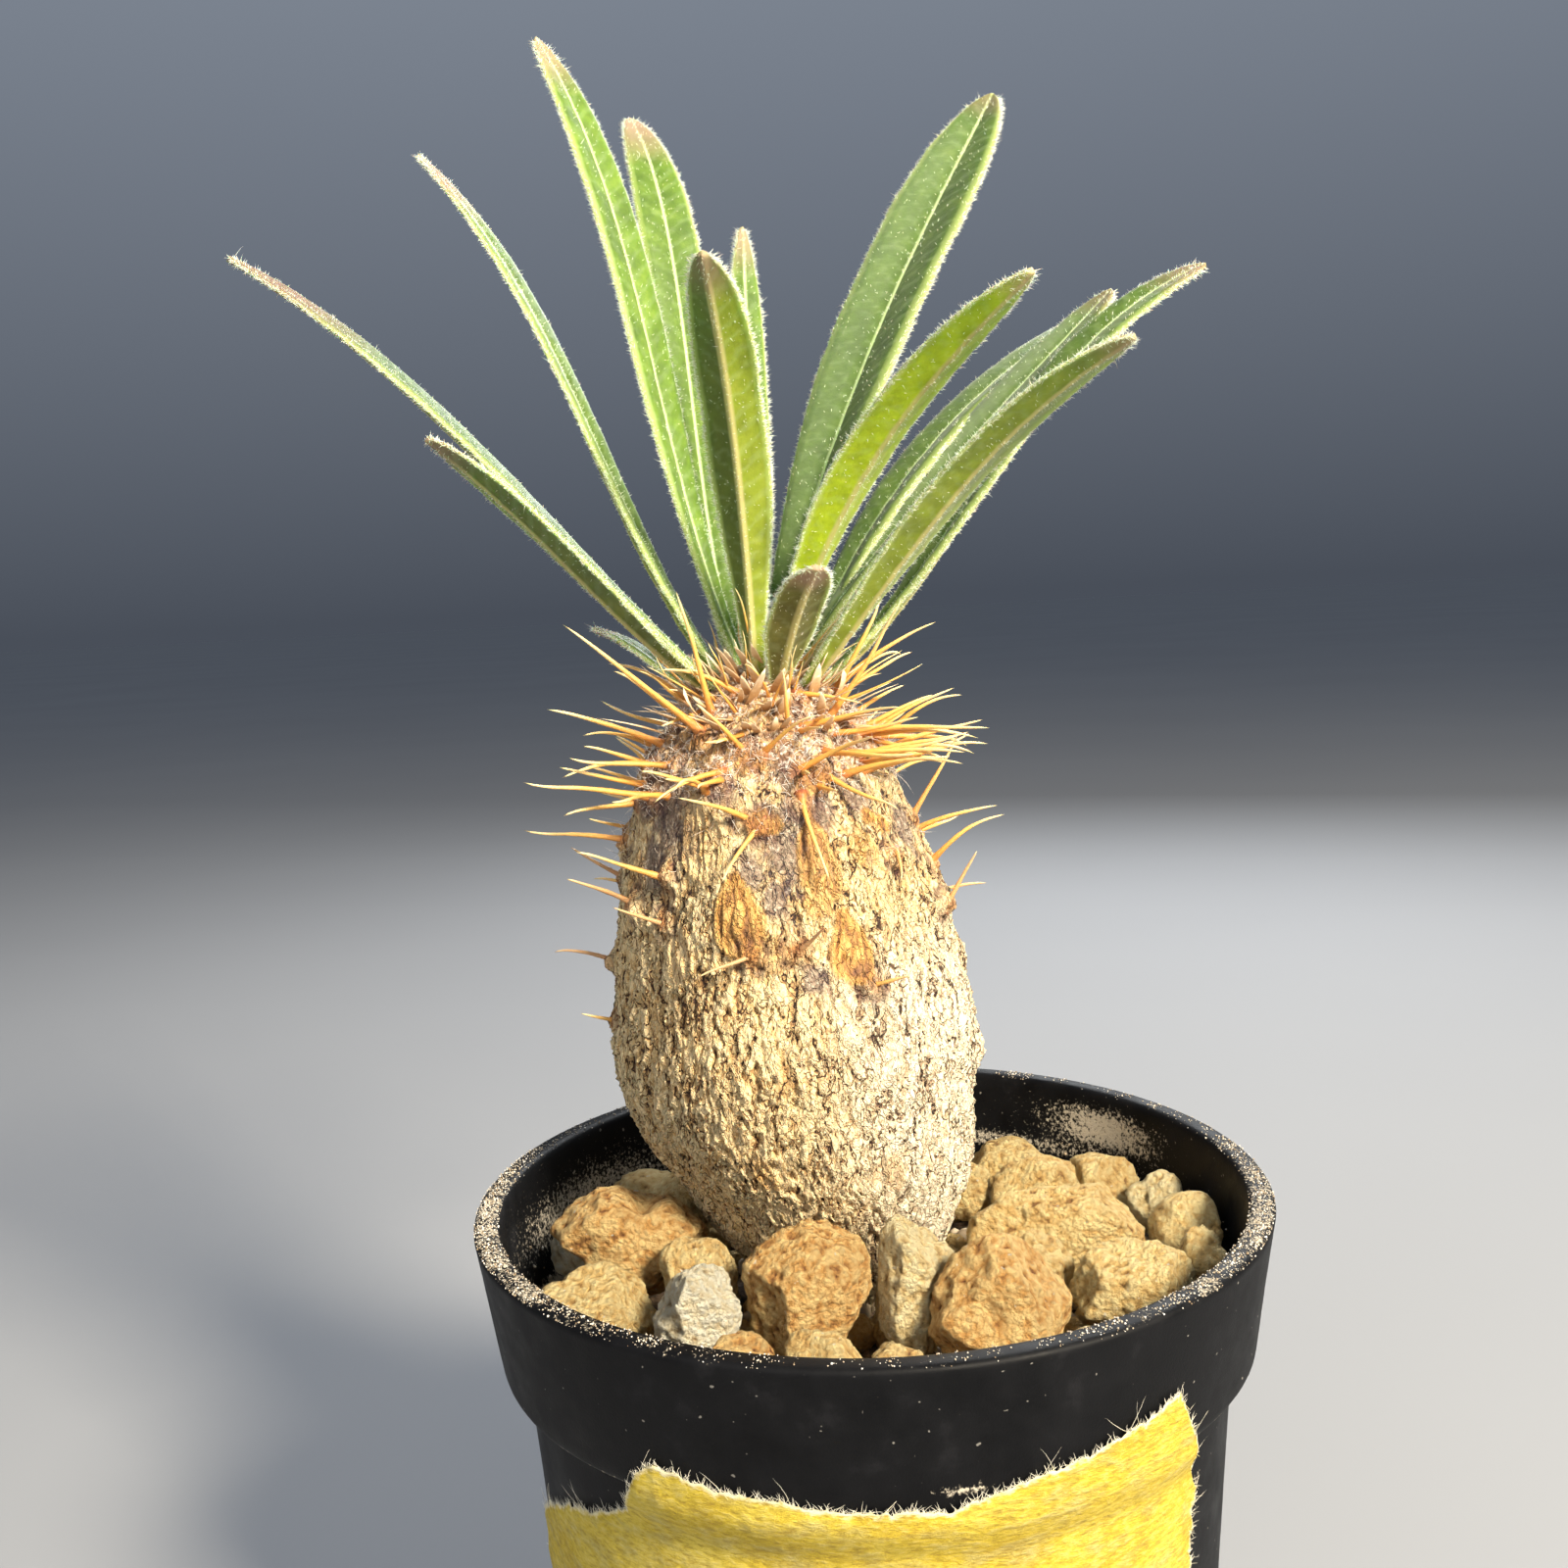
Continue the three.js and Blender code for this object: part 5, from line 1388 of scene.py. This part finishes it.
points, faces, *_ = strands(paths, radii)
wool_finish, tree, shader = new_finish("crown wool", 0.7)
paint(tree, shader, ramp(tree, speckle(tree, 300.0), [(0.35, (0.70, 0.58, 0.46)),
                                                      (0.6, (0.90, 0.87, 0.82))]))
make_piece("crown_wool", points, faces, wool_finish, "bark")

# %% Dry scales of the crown
count = 150
far = 3.0 + 7.0 * draw.random(count)
turn = draw.uniform(-np.pi, np.pi, count)
foot = crown_point(far, turn)
lean = np.radians(18 + 5.5 * far + draw.normal(0, 12, count))
aside = turn + draw.normal(0, 0.4, count)
go = around(np.sin(lean), aside, np.cos(lean))
curl = around(1.0, turn, 0.0) * draw.normal(0.15, 0.25, (count, 1))
paths = arcs(foot, go, curl, 1.8 + 2.9 * draw.random(count), -0.2, 7)
share = np.linspace(0, 1, 7)[None]
radii = (0.36 + 0.44 * draw.random((count, 1))) * (1 - share) ** 0.8 * (0.7 + 0.9 * share) + 0.02
points, faces, along, _ = strands(paths, radii, 8, 0.2)
scale_finish, tree, shader = new_finish("dry scale", 0.8)
place = maths(tree, "MULTIPLY_ADD", speckle(tree, 1800.0, 4.0), 0.5, fact(tree, "along"))
paint(tree, shader, ramp(tree, place, [(0.2, (0.20, 0.09, 0.05)), (0.6, (0.50, 0.29, 0.12)),
                                       (1.0, (0.78, 0.62, 0.42))]))
make_piece("crown_scales", points, faces, scale_finish, "bark", along=along)

# %% [markdown]
# ## Stones
#
# The top dressing is crushed baked clay: rough lumps with broken flats, full of pores, each resting
# against its neighbours. A lump is a sphere with seeded flats and waves, pressed against the wall, the
# stem and the other stones in the same order as the solids, so that it keeps its place and its gaps.
# Pores and grain are then sunk into it. Small stones fill the gaps that the large ones leave.

# %% The stones: middle X, Y, Z, half length, half depth, half height, turn, seed
STONES = np.array([
    [-22.4, -2.2, 59.8, 8.4, 5.0, 5.6, 4, 1], [-19.4, 8.6, 58.4, 3.8, 3.8, 3.8, -20, 2],
    [-25.0, -13.6, 57.4, 6.1, 5.0, 4.6, 25, 3], [-15.2, -17.2, 59.0, 3.9, 4.0, 4.9, 10, 4],
    [-16.0, -8.6, 58.6, 3.8, 4.0, 4.4, 0, 5], [-5.8, -14.2, 59.6, 6.1, 5.4, 6.3, 15, 6],
    [3.5, -13.0, 59.2, 3.8, 4.6, 6.6, 8, 7], [10.6, -17.6, 59.0, 6.9, 5.6, 6.2, -12, 8],
    [15.4, -6.6, 57.2, 3.2, 3.4, 3.6, 20, 9], [19.0, 1.6, 58.0, 9.6, 4.2, 4.6, 4, 10],
    [23.2, -11.4, 57.4, 6.2, 4.8, 4.4, 10, 11], [30.4, -6.0, 57.2, 2.6, 3.4, 3.6, 0, 12],
    [31.0, 2.0, 57.0, 4.0, 4.2, 3.6, 30, 13], [17.6, 14.2, 57.0, 5.4, 4.4, 3.8, 18, 14],
    [24.8, 15.4, 56.6, 4.6, 4.2, 3.6, -35, 15], [29.4, 10.0, 56.6, 3.2, 3.2, 3.6, 0, 16],
    [-11.2, -24.6, 57.4, 3.6, 4.0, 3.4, 0, 17], [-4.4, -25.2, 57.6, 3.6, 4.2, 3.6, 0, 18],
    [1.6, -25.4, 56.8, 3.0, 4.0, 3.2, 0, 19], [-24.4, 18.0, 55.6, 4.4, 4.2, 3.2, 40, 20],
    [-18.4, -23.0, 56.0, 4.2, 3.8, 3.4, 30, 21], [9.0, -27.0, 55.6, 4.2, 3.8, 3.0, 0, 22],
    [18.6, -22.4, 55.8, 4.2, 4.4, 3.4, 0, 23], [28.0, -16.6, 55.8, 3.8, 3.6, 3.2, 0, 24],
    [-30.4, 8.2, 54.8, 3.0, 4.6, 2.6, 0, 25], [10.2, 15.6, 56.4, 3.2, 3.0, 3.2, 20, 26],
    [-14.2, 21.0, 56.8, 5.4, 4.8, 4.0, -25, 27], [-4.2, 25.6, 56.2, 5.2, 4.6, 3.6, 10, 28],
    [6.0, 24.0, 55.8, 4.6, 4.4, 3.2, 40, 29], [15.4, 24.4, 55.6, 4.6, 4.4, 3.0, -10, 30],
])
TONE_OF = {"stone_red": (1, 6, 8, 17, 22), "stone_ochre": (3, 11, 12, 13, 24),
           "stone_cream": (4, 7, 16, 25)}
FINE_STONES = (1, 3, 4, 6, 7, 8, 10, 11)
STONE_GAP = 0.3
CLEARANCE = 0.35


def lump(row, body):
    """A sphere cut back by seven seeded flats and two broad waves, stretched, turned and placed."""
    x, y, z, rx, ry, rz, turn, seed = row
    one = repeatable(int(seed) * 977 + 5)
    flats = []
    for _ in range(7):
        tall, around, reach = 2 * one() - 1, 2 * math.pi * one(), 0.8 + 0.14 * one()
        level = math.sqrt(1 - tall * tall)
        flats.append((np.array([level * math.cos(around), level * math.sin(around), tall]), reach))
    phase = [6 * one() for _ in range(3)]
    p = unit(body)
    size = 1.02 + 0.06 * np.sin(3.1 * p[:, 0] + phase[0]) * np.sin(2.7 * p[:, 1] + phase[1])
    size = size + 0.05 * np.sin(4.3 * p[:, 2] + phase[2] + 2 * p[:, 0])
    for normal, reach in flats:
        lean = p @ normal
        size = np.where(lean > 0.2, np.minimum(size, reach / np.maximum(lean, 0.2)), size)
    p = p * size[:, None] * [rx, ry, rz]
    a = math.radians(turn)
    spin = np.array([[math.cos(a), -math.sin(a), 0], [math.sin(a), math.cos(a), 0], [0, 0, 1]])
    return p @ spin.T + [x, y, z]


def press(points, middle, normal, limit):
    """Pulls what lies past a plane back towards the middle, until it lies on the plane."""
    own = middle @ normal
    far = points @ normal
    pull = np.where(far > limit, (limit - own) / np.maximum(far - own, 1e-6), 1.0)
    return middle + (points - middle) * pull[:, None]


print("large stones:", len(STONES))

# %% Press the stones together
bodies = [ball(5 if k + 1 in FINE_STONES else 4) for k in range(len(STONES))]
lumps = [lump(row, body[0]) for row, body in zip(STONES, bodies)]
middles = STONES[:, :3]
stem_z = np.linspace(48, 114, 36)[:, None] + np.zeros((1, 45))
stem_skin = stem_point(stem_z, np.arange(0, 360, 8)[None] + 0 * stem_z, CLEARANCE).reshape(-1, 3)
swings = np.radians(np.arange(-20, 21, 5))
tips = np.radians(np.arange(-60, 11, 5))
for k, middle in enumerate(middles):
    stone = press(lumps[k], middle, np.array([0, 0, -1.0]), -(SOIL_TOP + 0.9))
    for a in np.radians(np.arange(0, 360, 4)):
        wall = pot_inner(stone[:, 2].min()) * 0.998 - CLEARANCE
        stone = press(stone, middle, np.array([math.cos(a), math.sin(a), 0]), wall)
    centre = np.array([np.interp(middle[2], STEM[:, 0], STEM[:, c]) for c in (1, 2)])
    straight = math.atan2(*(middle[:2] - centre)[::-1])
    turn, tip = (v.ravel() for v in np.meshgrid(straight + swings, tips))
    normals = around(np.cos(tip), turn, np.sin(tip))
    free = normals @ middle - (normals @ stem_skin.T).max(axis=1)
    best = np.argmax(free)
    back = -normals[best]
    lumps[k] = press(stone, middle, back, middle @ back + free[best] - STONE_GAP)
for i in range(len(lumps)):
    for j in range(i + 1, len(lumps)):
        apart = np.linalg.norm(middles[j] - middles[i])
        n = (middles[j] - middles[i]) / apart
        mine = (lumps[i] @ n).max() - middles[i] @ n
        theirs = (lumps[j] @ -n).max() - middles[j] @ -n
        if mine + theirs + STONE_GAP > apart:
            split = middles[i] @ n + apart * mine / (mine + theirs)
            lumps[i] = press(lumps[i], middles[i], n, split - STONE_GAP / 2)
            lumps[j] = press(lumps[j], middles[j], -n, -split - STONE_GAP / 2)
print("stones pressed:", len(lumps))


# %% The stones' finishes
def stone_finish(name, dark, middle, light):
    """Rough baked clay: pores painted dark as shade, a body colour with cloudy change, pale worn grain.
    """
    finish, tree, shader = new_finish(name, 0.95)
    grain = speckle(tree, 2200.0, 6.0, 0.8)
    cloud = speckle(tree, 260.0, 4.0, 0.6)
    place = node(tree, "ShaderNodeTexCoord").outputs["Object"]
    beads = node(tree, "ShaderNodeTexVoronoi", {"Vector": place, "Scale": 1900.0}).outputs["Distance"]
    level = weighted(tree, fact(tree, "depth"), (grain, 0.7), (cloud, 0.45), (beads, -0.3))
    level = maths(tree, "SUBTRACT", level, 0.1)
    colour = ramp(tree, level, [(0.26, dark), (0.54, middle), (0.9, light)])
    whiter = ramp(tree, level, [(0.26, (0.50, 0.34, 0.16)), (0.54, (0.92, 0.82, 0.57)),
                                (0.9, (0.98, 0.95, 0.80))])
    colour = blend(tree, fact(tree, "white"), colour, whiter)
    spots = span(tree, speckle(tree, 1300.0, 2.0), 0.70, 0.74, 0.0, 0.7)
    paint(tree, shader, blend(tree, spots, colour, (0.86, 0.80, 0.68, 1)))
    height = maths(tree, "MULTIPLY_ADD", speckle(tree, 4200.0, 3.0), 0.6, grain)
    relief(tree, shader, weighted(tree, height, (beads, -0.7)), 1.0, 0.0014)
    return finish


CLAYS = {
    "stone_red": ("red clay", (0.22, 0.075, 0.018), (0.72, 0.37, 0.10), (0.95, 0.67, 0.28)),
    "stone_ochre": ("ochre clay", (0.32, 0.16, 0.04), (0.82, 0.54, 0.19), (0.97, 0.78, 0.38)),
    "stone_cream": ("cream clay", (0.40, 0.23, 0.08), (0.86, 0.65, 0.30), (0.97, 0.84, 0.50)),
    "stone_tan": ("tan clay", (0.27, 0.12, 0.035), (0.78, 0.49, 0.165), (0.96, 0.75, 0.35)),
}
stone_finishes = {slot: stone_finish(*clay) for slot, clay in CLAYS.items()}
print("stone finishes:", list(stone_finishes))

# %% Chips and notches: stone, direction of the broken face, share of the reach that is left
CHIPS = [
    (1, -0.75, -0.25, -0.62, 0.74), (1, 0.80, -0.35, -0.48, 0.70), (1, -0.60, -0.30, 0.74, 0.80),
    (1, 0.78, -0.2, 0.58, 0.86), (1, 0.1, -0.95, 0.3, 0.78), (3, 0.0, -0.35, 0.93, 0.66),
    (3, 0.75, -0.3, 0.58, 0.70), (4, 0.62, -0.28, 0.72, 0.72), (4, -0.80, -0.2, 0.55, 0.80),
    (4, 0.25, -0.96, 0.05, 0.72), (4, -0.55, -0.80, -0.1, 0.76), (6, -0.78, -0.60, 0.1, 0.76),
    (6, -0.45, -0.40, 0.79, 0.80), (6, 0.55, -0.45, 0.70, 0.84), (6, 0.35, -0.93, 0.0, 0.80),
    (7, 0.60, -0.25, 0.76, 0.72), (7, -0.80, -0.55, 0.2, 0.82), (7, 0.2, -0.97, 0.1, 0.74),
    (8, -0.62, -0.28, 0.72, 0.72), (8, 0.70, -0.20, 0.68, 0.70), (8, 0.86, -0.4, -0.3, 0.86),
    (8, -0.2, -0.95, 0.25, 0.80), (9, 0.5, -0.3, 0.8, 0.76), (10, -0.1, -0.35, 0.93, 0.74),
    (10, 0.72, -0.1, 0.68, 0.72), (10, -0.3, -0.9, 0.3, 0.76), (11, -0.15, -0.30, 0.94, 0.66),
    (11, -0.35, -0.92, 0.15, 0.74), (11, -0.88, -0.3, 0.35, 0.76), (11, 0.85, -0.4, 0.3, 0.78),
    (12, 0.1, -0.5, 0.86, 0.72), (13, 0.2, -0.6, 0.77, 0.72), (14, -0.4, -0.5, 0.77, 0.72),
    (15, 0.4, -0.6, 0.7, 0.74), (5, -0.3, -0.6, 0.74, 0.74), (17, 0.3, -0.4, 0.86, 0.72),
    (18, -0.4, -0.4, 0.82, 0.70), (19, 0.3, -0.3, 0.9, 0.66), (16, -0.5, -0.5, 0.7, 0.7),
]
NOTCHES = [(1, -21.0, -2.6, 65.6, 2.1, 3.2), (1, -27.6, -5.4, 59.2, 2.0, 0.9),
           (7, 6.0, -17.0, 64.0, 2.2, 0.9), (10, 12.6, -2.4, 60.6, 2.2, 0.7),
           (6, -8.6, -19.2, 58.6, 2.0, 0.8), (8, 9.0, -22.6, 60.6, 1.8, 0.8)]


def broken(stone, middle, number):
    """Cuts a stone back to its broken faces, then sinks its notches: soft hollows, longer in depth."""
    for which, *normal, share in CHIPS:
        if which == number:
            n = np.array(normal) / np.linalg.norm(normal)
            reach = (stone @ n).max() - middle @ n
            stone = press(stone, middle, n, middle @ n + reach * share)
    away = unit(stone - middle)
    for which, x, y, z, width, depth in NOTCHES:
        if which == number:
            near = np.linalg.norm((stone - [x, y, z]) * [1, 0.45, 1], axis=1) / width
            stone = stone - away * (depth * np.exp(-near ** 2))[:, None]
    return stone


print("chips:", len(CHIPS), "notches:", len(NOTCHES))

# %% Sink the pores and make the stones
WHITE = (4, 25)
WHITE_SHARE = 0.85
for k, (stone, body) in enumerate(zip(lumps, bodies)):
    number = k + 1
    stone = broken(stone, middles[k], number)
    away = unit(stone - middles[k])
    size = STONES[k, 3:6].mean()
    pore = np.clip(0.40 - pits(stone * 0.8 + 31 * k, 5), 0, 1) * 1.3
    tiny = np.clip(0.42 - pits(stone * 2.1 + 17 * k, 6), 0, 1) * 0.55
    broad = layered(stone * (1.6 / size) + 9 * k, 41, 4)
    edges = 1 - np.abs(waves(stone * (2.2 / size) + 3 * k, 43)) * 2.2
    grain = layered(stone * 1.25 + 5 * k, 42, 3)
    sunk = np.clip(0.30 + 0.6 * broad - 0.25 * edges, 0, 1.4) * 0.14 * size + 0.6 * (pore + tiny)
    place = stone - away * np.maximum(0, 0.08 + sunk - 0.17 * grain)[:, None]
    # depth falls to 0 in the pores, which the finish paints dark as painted shade, and it varies with
    # the grain.
    depth = np.clip(0.46 - 1.1 * (pore + tiny) + 0.42 * grain, 0, 1)
    slot = next((s for s, which in TONE_OF.items() if number in which), "stone_tan")
    piece = make_piece(f"lump_{number:02d}", place, [body[1]], stone_finishes[slot], slot, depth=depth,
                       white=np.full(len(place), WHITE_SHARE * (number in WHITE)))
    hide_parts(f"stone_{number:02d}")

# %% Small stones that fill the gaps between the large ones
TRIES = 2600
STEM_FOOT = [-3.0, 4.6]
draw = np.random.default_rng(77)
far = 31.0 * np.sqrt(draw.random(TRIES))
turn = draw.uniform(0, 2 * np.pi, TRIES)
size = 0.9 + 1.4 * draw.random(TRIES) ** 1.3
spots = around(far, turn, 0.0)[:, :2]
near = np.linalg.norm(spots[:, None] - STONES[None, :, :2], axis=-1) - 0.74 * STONES[None, :, 3]
clear = (near.min(axis=1) > 0.85 * size) & (far < 31.2 - size)
clear = clear & (np.linalg.norm(spots - STEM_FOOT, axis=1) > 9.5 + size)
chosen = []
for k in np.flatnonzero(clear):
    if all(np.linalg.norm(spots[k] - spots[j]) > 0.85 * (size[k] + size[j]) for j in chosen):
        chosen.append(k)
size = size[chosen]
middles = np.column_stack([spots[chosen], SOIL_TOP + 0.5 * size])
points, faces, tone = scattered(middles, size, draw, 2, 0.3)
pore = np.clip(0.42 - pits(points * 1.4, 8), 0, 1)
points = points - 0.5 * pore[:, None] * unit(points - np.repeat(middles, len(points) // len(size), 0))
# depth falls in the pores of the small stones too: painted shade.
make_piece("filler_stones", points, [faces], stone_finishes["stone_tan"], "stone_tan",
           depth=0.3 + 0.3 * tone - pore, white=0 * tone)
print("small stones:", len(size))

# %% [markdown]
# ## The triangles
#
# The dressed object must not outgrow its solids, because other things are placed by those. This last
# cell counts the triangles that the dressing added.

# %% Count the added triangles
added = [o for o in bpy.data.objects if o.type == "MESH" and o.name not in cad_names]
total = sum(len(p.vertices) - 2 for o in added for p in o.data.polygons)
print("triangles added in all:", total)
